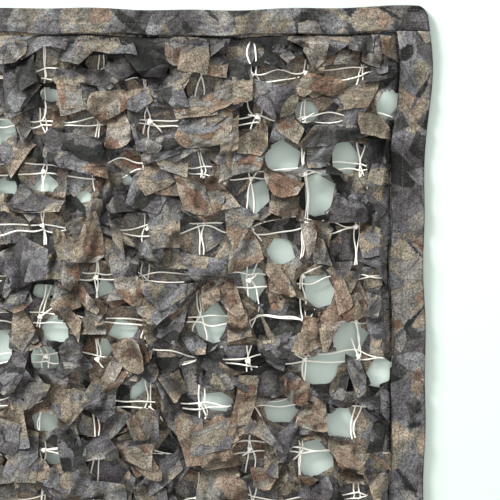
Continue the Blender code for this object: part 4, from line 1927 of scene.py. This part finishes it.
@dataclass
class Stitching:
    """Rows of short stitches along a band."""

    band: EdgeBand
    pitch: float = 0.0042
    stitch: float = 0.0029
    thread: float = 0.00024

    def make(self) -> Piece:
        """Sew the band's rows of stitches as one mesh.

        Returns:
            The piece.
        """
        band = self.band
        shape = bmesh.new()
        for row, inset in enumerate((band.width - band.seam_in, band.roll_in)):
            count = int((band.length - 0.010) / self.pitch)
            along = (np.arange(count) - (count - 1) / 2) * self.pitch
            insets = np.full(count, inset)
            top = band.cloth * 1.5 + band.mouth + band.cloth / 2
            height = top + band.pucker(along, insets) + self.thread * 0.35
            middles = band.places(along, insets, height)
            ends = band.places(along + self.stitch / 2, insets, height)
            for middle, end in zip(middles, ends):
                heading = math.atan2(end[1] - middle[1], end[0] - middle[0]) + 0.05 * (row * 2 - 1)
                made = bmesh.ops.create_icosphere(shape, subdivisions=1, radius=0.5)
                verts = made["verts"]
                bmesh.ops.scale(shape, verts=verts, vec=(self.stitch, self.thread * 2, self.thread * 2))
                spin = Matrix.Rotation(heading, 3, "Z")
                bmesh.ops.rotate(shape, verts=verts, cent=(0, 0, 0), matrix=spin)
                bmesh.ops.translate(shape, verts=verts, vec=Vector(middle))
        return new_piece(band.side.value + "_stitches", shape)


# ---------------- finishes


class Nodes:
    """Short way to add and link nodes in one tree."""

    def __init__(self, tree: bpy.types.NodeTree) -> None:
        """Keep the tree."""
        self.tree = tree

    @property
    def shader(self) -> bpy.types.Node:
        """Return a material's shader."""
        return self.tree.nodes["Principled BSDF"]

    def add(self, kind: str, settings: dict | None = None, **inputs: Value) -> bpy.types.Node:
        """Add a node.

        Args:
            kind: the node's class name without its ShaderNode prefix.
            settings: properties to set on the node.
            inputs: values or sockets for its inputs, by name with _ for spaces, or i0, i1...

        Returns:
            The node.
        """
        node = self.tree.nodes.new("ShaderNode" + kind)
        for name, value in (settings or {}).items():
            setattr(node, name, value)
        for name, value in inputs.items():
            key = int(name[1:]) if name[0] == "i" and name[1:].isdigit() else name.replace("_", " ")
            self.plug(node, key, value)
        return node

    def plug(self, node: bpy.types.Node, key: int | str, value: Value) -> None:
        """Link a socket to a node's input, or set the input to a value.

        Args:
            node: the node.
            key: the input's name or number.
            value: the socket or value.
        """
        if isinstance(value, Socket):
            self.tree.links.new(value, node.inputs[key])
        else:
            node.inputs[key].default_value = value

    def math(self, operation: str, first: Value, second: Value = 0.0,
             clamp: bool = False) -> Socket:
        """Add a maths node and return its result."""
        return self.add("Math", {"operation": operation, "use_clamp": clamp},
                        i0=first, i1=second).outputs[0]

    def spread(self, value: Socket, low: float, high: float, to_low: float,
               to_high: float) -> Socket:
        """Map a value's range to another, clamped, and return the result."""
        return self.add("MapRange", Value=value, From_Min=low, From_Max=high,
                        To_Min=to_low, To_Max=to_high).outputs[0]

    def scaled(self, vector: Socket, scale: tuple[float, float, float],
               turn: float = 0.0) -> Socket:
        """Scale and turn a pattern's coordinates and return them."""
        return self.add("Mapping", Vector=vector, Scale=scale,
                        Rotation=(0, 0, turn)).outputs[0]

    def ramp(self, value: Socket, stops: Stops, blend: str = "LINEAR") -> Socket:
        """Add a colour ramp.

        Args:
            value: the ramp's input.
            stops: positions and colours.
            blend: how colours blend.

        Returns:
            The ramp's colour.
        """
        node = self.add("ValToRGB", Fac=value)
        node.color_ramp.interpolation = blend
        marks = node.color_ramp.elements
        while len(marks) < len(stops):
            marks.new(0.5)
        for mark, (place, colour) in zip(marks, stops):
            mark.position = place
            mark.color = (*colour, 1)
        return node.outputs[0]

    def noise(self, vector: Socket, scale: float, detail: float = 2.0, distortion: float = 0.0,
              rough: float = 0.5) -> Socket:
        """Add a noise texture and return its value."""
        return self.add("TexNoise", {"noise_dimensions": "3D"}, Vector=vector, Scale=scale,
                        Detail=detail, Roughness=rough, Distortion=distortion).outputs[0]

    def tint(self, operation: str, share: Value, first: Value, second: Value) -> Socket:
        """Mix two colours.

        Args:
            operation: how they mix.
            share: how much.
            first: the colour beneath.
            second: the colour on top.

        Returns:
            The mixed colour.
        """
        node = self.add("Mix", {"data_type": "RGBA", "blend_type": operation})
        for index, value in ((0, share), (6, first), (7, second)):
            self.plug(node, index, value)
        return node.outputs[2]

    def shaded(self, colour: Socket, mask: Socket, stops: Stops) -> Socket:
        """Multiply a colour by a ramp over a mask and return the result."""
        return self.tint("MULTIPLY", 1.0, colour, self.ramp(mask, stops))


PLAIN = (1.0, 1.0, 1.0)
PRINT_COLOURS = (
    (0.00, (0.009, 0.010, 0.009)), (0.10, (0.022, 0.023, 0.021)),
    (0.19, (0.042, 0.040, 0.041)), (0.29, (0.064, 0.062, 0.067)),
    (0.38, (0.082, 0.084, 0.087)), (0.47, (0.101, 0.098, 0.089)),
    (0.56, (0.119, 0.107, 0.083)), (0.67, (0.140, 0.116, 0.088)),
    (0.78, (0.119, 0.088, 0.065)), (0.86, (0.088, 0.056, 0.039)),
    (0.95, (0.160, 0.146, 0.127)),
)


def start_finish(name: str, **inputs: Value) -> tuple[bpy.types.Material, Nodes]:
    """Start a material.

    Args:
        name: the material's name.
        inputs: values for its shader's inputs, by name with _ for spaces.

    Returns:
        The material and its nodes.
    """
    finish = bpy.data.materials.new(name)
    finish.use_nodes = True
    nodes = Nodes(finish.node_tree)
    for label, value in inputs.items():
        nodes.plug(nodes.shader, label.replace("_", " "), value)
    return finish, nodes


def input_group(name: str, inputs: dict[str, str], outputs: dict[str, str]) -> bpy.types.NodeTree:
    """Start a node group.

    Args:
        name: the group's name.
        inputs: its inputs' names and kinds.
        outputs: its outputs' names and kinds.

    Returns:
        The group, with its input and output nodes as the first two.
    """
    tree = bpy.data.node_groups.new(name, "ShaderNodeTree")
    for way, sockets in (("INPUT", inputs), ("OUTPUT", outputs)):
        for label, kind in sockets.items():
            tree.interface.new_socket(label, in_out=way, socket_type="NodeSocket" + kind)
    tree.nodes.new("NodeGroupInput")
    tree.nodes.new("NodeGroupOutput")
    return tree


def leaf_print() -> bpy.types.NodeTree:
    """Make one scattering of printed leaves, each with its blade, midrib and side veins.

    Returns:
        A node group: Place and Count in (leaves a metre), Blade, Rim, Veins and Pick out.
    """
    tree = input_group("printed_leaves", {"Place": "Vector", "Count": "Float"},
                       {"Blade": "Float", "Rim": "Float", "Veins": "Float", "Pick": "Float"})
    nodes = Nodes(tree)
    inward, outward = tree.nodes[0], tree.nodes[1]
    place, count = inward.outputs["Place"], inward.outputs["Count"]
    cells = nodes.add("TexVoronoi", {"feature": "F1", "voronoi_dimensions": "2D"}, Vector=place,
                      Scale=count, Randomness=0.9)
    picks = nodes.add("SeparateColor", Color=cells.outputs["Color"])
    away = nodes.add("VectorMath", {"operation": "SUBTRACT"}, i0=place,
                     i1=cells.outputs["Position"]).outputs[0]
    away = nodes.add("VectorMath", {"operation": "SCALE"}, i0=away, Scale=count).outputs[0]
    spun = nodes.add("VectorRotate", {"rotation_type": "Z_AXIS"}, Vector=away,
                     Angle=nodes.math("MULTIPLY", picks.outputs[0], math.tau)).outputs[0]
    split = nodes.add("SeparateXYZ", i0=spun)
    ragged = nodes.math("MULTIPLY", nodes.math("SUBTRACT", nodes.noise(place, 210, 3), 0.5), 0.13)
    across = nodes.math("ABSOLUTE", split.outputs[0])
    along = split.outputs[1]
    bulge = nodes.math("MULTIPLY", nodes.math("MULTIPLY", along, along), 0.62)
    half = nodes.math("SUBTRACT", nodes.math("ADD", 0.34, ragged), bulge)
    depth = nodes.math("SUBTRACT", half, across)
    blade = nodes.spread(depth, 0.0, 0.025, 0, 1)
    rim = nodes.spread(nodes.math("ABSOLUTE", depth), 0.0, 0.085, 0, 1)
    slant = nodes.math("SUBTRACT", along, nodes.math("MULTIPLY", across, 0.8))
    side_veins = nodes.spread(nodes.math("SINE", nodes.math("MULTIPLY", slant, 38.0)),
                              0.72, 1.0, 0, 0.45)
    midrib = nodes.spread(across, 0.0, 0.026, 1, 0)
    veins = nodes.math("MULTIPLY", nodes.math("MAXIMUM", side_veins, midrib), blade)
    for name, value in (("Blade", blade), ("Rim", rim), ("Veins", veins),
                        ("Pick", picks.outputs[1])):
        tree.links.new(value, outward.inputs[name])
    return tree


def bark_print() -> bpy.types.NodeTree:
    """Make the print that the garnish cloth and the bands share: leaves over dark bark, with painted
    shade and painted light laid over it.

    Returns:
        A node group: Place, Tone and the painted shade in, Color and Weave out.
    """
    tree = input_group("bark_print", {"Place": "Vector", "Tone": "Float", "Deep": "Float"},
                       {"Color": "Color", "Weave": "Float"})
    leaves = leaf_print()
    nodes = Nodes(tree)
    inward, outward = tree.nodes[0], tree.nodes[1]
    place, tone = inward.outputs["Place"], inward.outputs["Tone"]
    patches = nodes.math("MULTIPLY", nodes.math("SUBTRACT", nodes.noise(place, 44, 4, 1.0, 0.6),
                                                0.5), 1.1)
    base = nodes.math("SUBTRACT", nodes.math("ADD", tone, patches), 0.10, clamp=True)
    colour = nodes.ramp(base, PRINT_COLOURS)
    for count, turn, shift in ((14, 0.4, 0.31), (19, 1.7, 1.73), (27, 2.9, 2.57)):
        moved = nodes.add("Mapping", Vector=place, Location=(shift, 0.7 * shift, 0),
                          Rotation=(0, 0, turn)).outputs[0]
        printed = nodes.add("Group", {"node_tree": leaves}, Place=moved, Count=float(count))
        chance = nodes.math("MULTIPLY", nodes.math("SUBTRACT", printed.outputs["Pick"], 0.5), 0.52)
        own = nodes.ramp(nodes.math("ADD", tone, chance, clamp=True), PRINT_COLOURS, "CONSTANT")
        own = nodes.tint("MULTIPLY", printed.outputs["Veins"], own, (0.60, 0.58, 0.56, 1))
        colour = nodes.tint("MIX", printed.outputs["Blade"], colour, own)
        colour = nodes.shaded(colour, printed.outputs["Rim"],
                              ((0.0, (0.66, 0.66, 0.66)), (0.55, PLAIN)))
    mottle = nodes.noise(nodes.scaled(place, (170, 100, 1), 0.3), 1.0, 4, 1.0, 0.62)
    colour = nodes.shaded(colour, mottle, ((0.32, (0.75, 0.75, 0.76)), (0.50, PLAIN),
                                           (0.70, (1.26, 1.25, 1.23))))
    speckle = nodes.noise(nodes.scaled(place, (560, 430, 1), -0.15), 1.0, 1, 0.4, 0.8)
    colour = nodes.shaded(colour, speckle, ((0.33, (0.36, 0.36, 0.36)), (0.46, PLAIN),
                                            (0.67, (1.50, 1.48, 1.45))))
    twigs = nodes.noise(nodes.scaled(place, (70, 330, 1), 0.9), 1.0, 3, 1.2, 0.6)
    colour = nodes.shaded(colour, twigs, ((0.30, (0.52, 0.51, 0.50)), (0.44, PLAIN),
                                          (0.66, (1.18, 1.17, 1.16))))
    # Painted light where the cloth stands above its surroundings and painted shade where it lies under
    # them, as the pieces' attribute gives it.
    colour = nodes.shaded(colour, nodes.spread(inward.outputs["Deep"], -1, 1, 0, 1), (
        (0.0, (1.70, 1.68, 1.65)), (0.20, (1.38, 1.36, 1.34)), (0.50, (0.94, 0.94, 0.94)),
        (0.70, (0.62, 0.61, 0.60)), (1.0, (0.32, 0.31, 0.30))))
    yarns = [nodes.add("TexWave", {"wave_type": "BANDS", "bands_direction": way}, Vector=place,
                       Scale=560, Distortion=0.5, Detail=1).outputs["Fac"] for way in "XY"]
    weave = nodes.math("MAXIMUM", *yarns)
    tree.links.new(colour, outward.inputs["Color"])
    tree.links.new(weave, outward.inputs["Weave"])
    return tree


@dataclass(frozen=True)
class PrintedCloth:
    """Matt printed polyester."""

    name: str
    roughness: float = 0.72
    weave_depth: float = 0.00006
    crumple_depth: float = 0.0012

    def make(self, group: bpy.types.NodeTree) -> bpy.types.Material:
        """Make the material.

        Args:
            group: the shared print.

        Returns:
            The material.
        """
        finish, nodes = start_finish(self.name, Roughness=self.roughness, Specular_IOR_Level=0.12)
        place = nodes.add("UVMap", {"uv_map": "print"}).outputs[0]
        tone = nodes.add("Attribute", {"attribute_name": "tone"}).outputs["Fac"]
        # The attribute that carries the pieces' painted shade and painted light.
        deep = nodes.add("Attribute", {"attribute_name": "deep"}).outputs["Fac"]
        printed = nodes.add("Group", {"node_tree": group}, Place=place, Tone=tone, Deep=deep)
        bent = nodes.add("VectorMath", {"operation": "ADD"}, i0=place, i1=nodes.add(
            "VectorMath", {"operation": "SCALE"}, i0=nodes.add(
                "TexNoise", Vector=place, Scale=60, Detail=2).outputs["Color"],
            Scale=0.012).outputs[0]).outputs[0]
        crumple = nodes.add("TexVoronoi", {"feature": "F1"}, Vector=bent, Scale=105,
                            Randomness=1.0).outputs["Distance"]
        fine = nodes.noise(place, 240, 3, 0.8, 0.6)
        crumple = nodes.math("ADD", crumple, nodes.math("MULTIPLY", fine, 0.45))
        bump = nodes.add("Bump", Strength=1.0, Distance=self.crumple_depth, Height=crumple)
        weave = nodes.add("Bump", Strength=0.6, Distance=self.weave_depth,
                          Height=printed.outputs["Weave"], Normal=bump.outputs[0])
        nodes.plug(nodes.shader, "Base Color", printed.outputs["Color"])
        nodes.plug(nodes.shader, "Normal", weave.outputs[0])
        return finish


@dataclass(frozen=True)
class TwistedCord:
    """Cream cord or thread with its strands' twist."""

    name: str
    colour: tuple[float, float, float]
    dark: tuple[float, float, float]

    def make(self) -> bpy.types.Material:
        """Make the material.

        Returns:
            The material.
        """
        finish, nodes = start_finish(self.name, Roughness=0.8, Sheen_Weight=0.2)
        place = nodes.add("TexCoord").outputs["Object"]
        twist = nodes.add("TexWave", {"wave_type": "BANDS", "bands_direction": "DIAGONAL"},
                          Vector=place, Scale=240, Distortion=1.5, Detail=2).outputs["Fac"]
        soil = nodes.noise(place, 60, 3, 0.3, 0.6)
        tone = nodes.math("ADD", nodes.math("MULTIPLY", twist, 0.35),
                          nodes.math("MULTIPLY", soil, 0.75), clamp=True)
        colour = nodes.ramp(tone, ((0.25, self.dark), (0.70, self.colour)))
        bump = nodes.add("Bump", Strength=0.7, Distance=0.00025, Height=twist)
        nodes.plug(nodes.shader, "Base Color", colour)
        nodes.plug(nodes.shader, "Normal", bump.outputs[0])
        return finish


# ---------------- studio


@dataclass(frozen=True)
class Studio:
    """Pale surface, soft light and a camera straight above the top right corner."""

    plan: NetPlan
    view: float = 0.600
    right_share: float = 0.850
    top_share: float = 0.0165
    lens: float = 120.0
    sensor: float = 36.0
    pale: tuple[float, ...] = (0.390, 0.452, 0.412, 1)
    sky: float = 1.53
    key_power: float = 163
    fill_power: float = 5

    def make_floor(self) -> None:
        """Lay the pale surface."""
        shape = bmesh.new()
        bmesh.ops.create_grid(shape, x_segments=1, y_segments=1, size=4)
        floor = new_piece("surface", shape)
        floor.location.z = -0.0005
        finish, _ = start_finish("pale_surface", Base_Color=self.pale, Roughness=0.95,
                                 Specular_IOR_Level=0.1)
        floor.data.materials.append(finish)
        floor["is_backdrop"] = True

    def make_light(self, name: str, place: tuple[float, float, float], size: float,
                   power: float, aim: Vector) -> None:
        """Hang one soft light.

        Args:
            name: its name.
            place: where it hangs.
            size: its diameter.
            power: its power in watts.
            aim: what it points at.
        """
        lamp = bpy.data.lights.new(name, "AREA")
        lamp.shape = "DISK"
        lamp.size = size
        lamp.energy = power
        holder = bpy.data.objects.new(name, lamp)
        holder.location = place
        holder.rotation_euler = (aim - Vector(place)).to_track_quat("-Z", "Y").to_euler()
        bpy.context.scene.collection.objects.link(holder)

    def make(self) -> None:
        """Set up the surface, lights, world and camera."""
        scene = bpy.context.scene
        scene.view_settings.view_transform = "Standard"
        self.make_floor()
        shift_x, shift_y = self.plan.shift
        x = self.plan.width / 2 + shift_x - (self.right_share - 0.5) * self.view
        y = self.plan.length / 2 + shift_y - (0.5 - self.top_share) * self.view
        aim = Vector((x, y, 0))
        self.make_light("key", (x - 1.45, y + 1.55, 0.98), 0.95, self.key_power, aim)
        self.make_light("fill", (x + 1.2, y + 0.6, 1.8), 1.2, self.fill_power, aim)
        world = bpy.data.worlds.new("studio")
        world.use_nodes = True
        sky = world.node_tree.nodes["Background"]
        sky.inputs["Color"].default_value = (1, 1, 1, 1)
        sky.inputs["Strength"].default_value = self.sky
        scene.world = world
        camera = bpy.data.cameras.new("camera")
        camera.lens = self.lens
        camera.sensor_width = self.sensor
        camera.clip_start = 0.05
        holder = bpy.data.objects.new("camera", camera)
        holder.location = (x, y, self.view * self.lens / self.sensor + 0.01)
        scene.collection.objects.link(holder)
        scene.camera = holder


# ---------------- the whole net


def dress(piece: Piece, finish: bpy.types.Material) -> None:
    """Give a piece its finish and its body, and report it.

    Args:
        piece: the piece.
        finish: its material.
    """
    piece.data.materials.clear()
    piece.data.materials.append(finish)
    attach(piece, BODY)
    LOG.info("%s: %d faces", piece.name, len(piece.data.polygons))


def main() -> None:
    """Build the net, piece by piece."""
    logging.basicConfig(level=logging.INFO, format="%(name)s: %(message)s")
    cad_low, cad_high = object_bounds()
    plan = NetPlan()
    Studio(plan).make()
    relief = Relief(cad_low, cad_high)
    gaps = GapPlan(plan, frame["record"]).gaps
    mesh = MeshPlan(plan)
    cloth = GarnishCloth(plan, relief, gaps)
    setter = LeafSetter(plan, cloth, mesh)
    group = bark_print()
    printed = PrintedCloth("printed_garnish").make(group)
    band_finish = PrintedCloth("printed_band").make(group)
    cream = TwistedCord("cream_cord", (0.80, 0.78, 0.70), (0.56, 0.53, 0.46)).make()
    thread = TwistedCord("sewing_thread", (0.085, 0.078, 0.068), (0.055, 0.050, 0.044)).make()

    under = cloth.make_layer(UNDER_LAYER, setter.under_leaves(), 2)
    cords = CordMesh(plan, mesh, relief)
    columns = cords.make_lines("mesh_columns", False)
    rows = cords.make_lines("mesh_rows", True)
    knots = cords.make_knots()
    sheet = FrontSheet(plan, relief, gaps + mesh.windows(), mesh.hollows).make("garnish_front")
    front = [sheet, *cloth.make_layer(FRONT_LAYER, setter.front_leaves(), 3)]
    for piece in [*under, *front]:
        # The under layer's low share paints it lighter all over: painted light against the shade it
        # lies in.
        cloth.paint_shade_by_depth(piece, 0.25 if piece in under else 1.0)
        dress(piece, printed)
        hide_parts("garnish_cloth")
    for piece in (columns, rows, *knots):
        dress(piece, cream)
    for side in Side:
        band = EdgeBand(plan, side)
        strip = band.make()
        dress(strip, band_finish)
        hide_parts(side.value)
        band.length
        dress(Stitching(band).make(), thread)


if __name__ == "__main__":
    main()
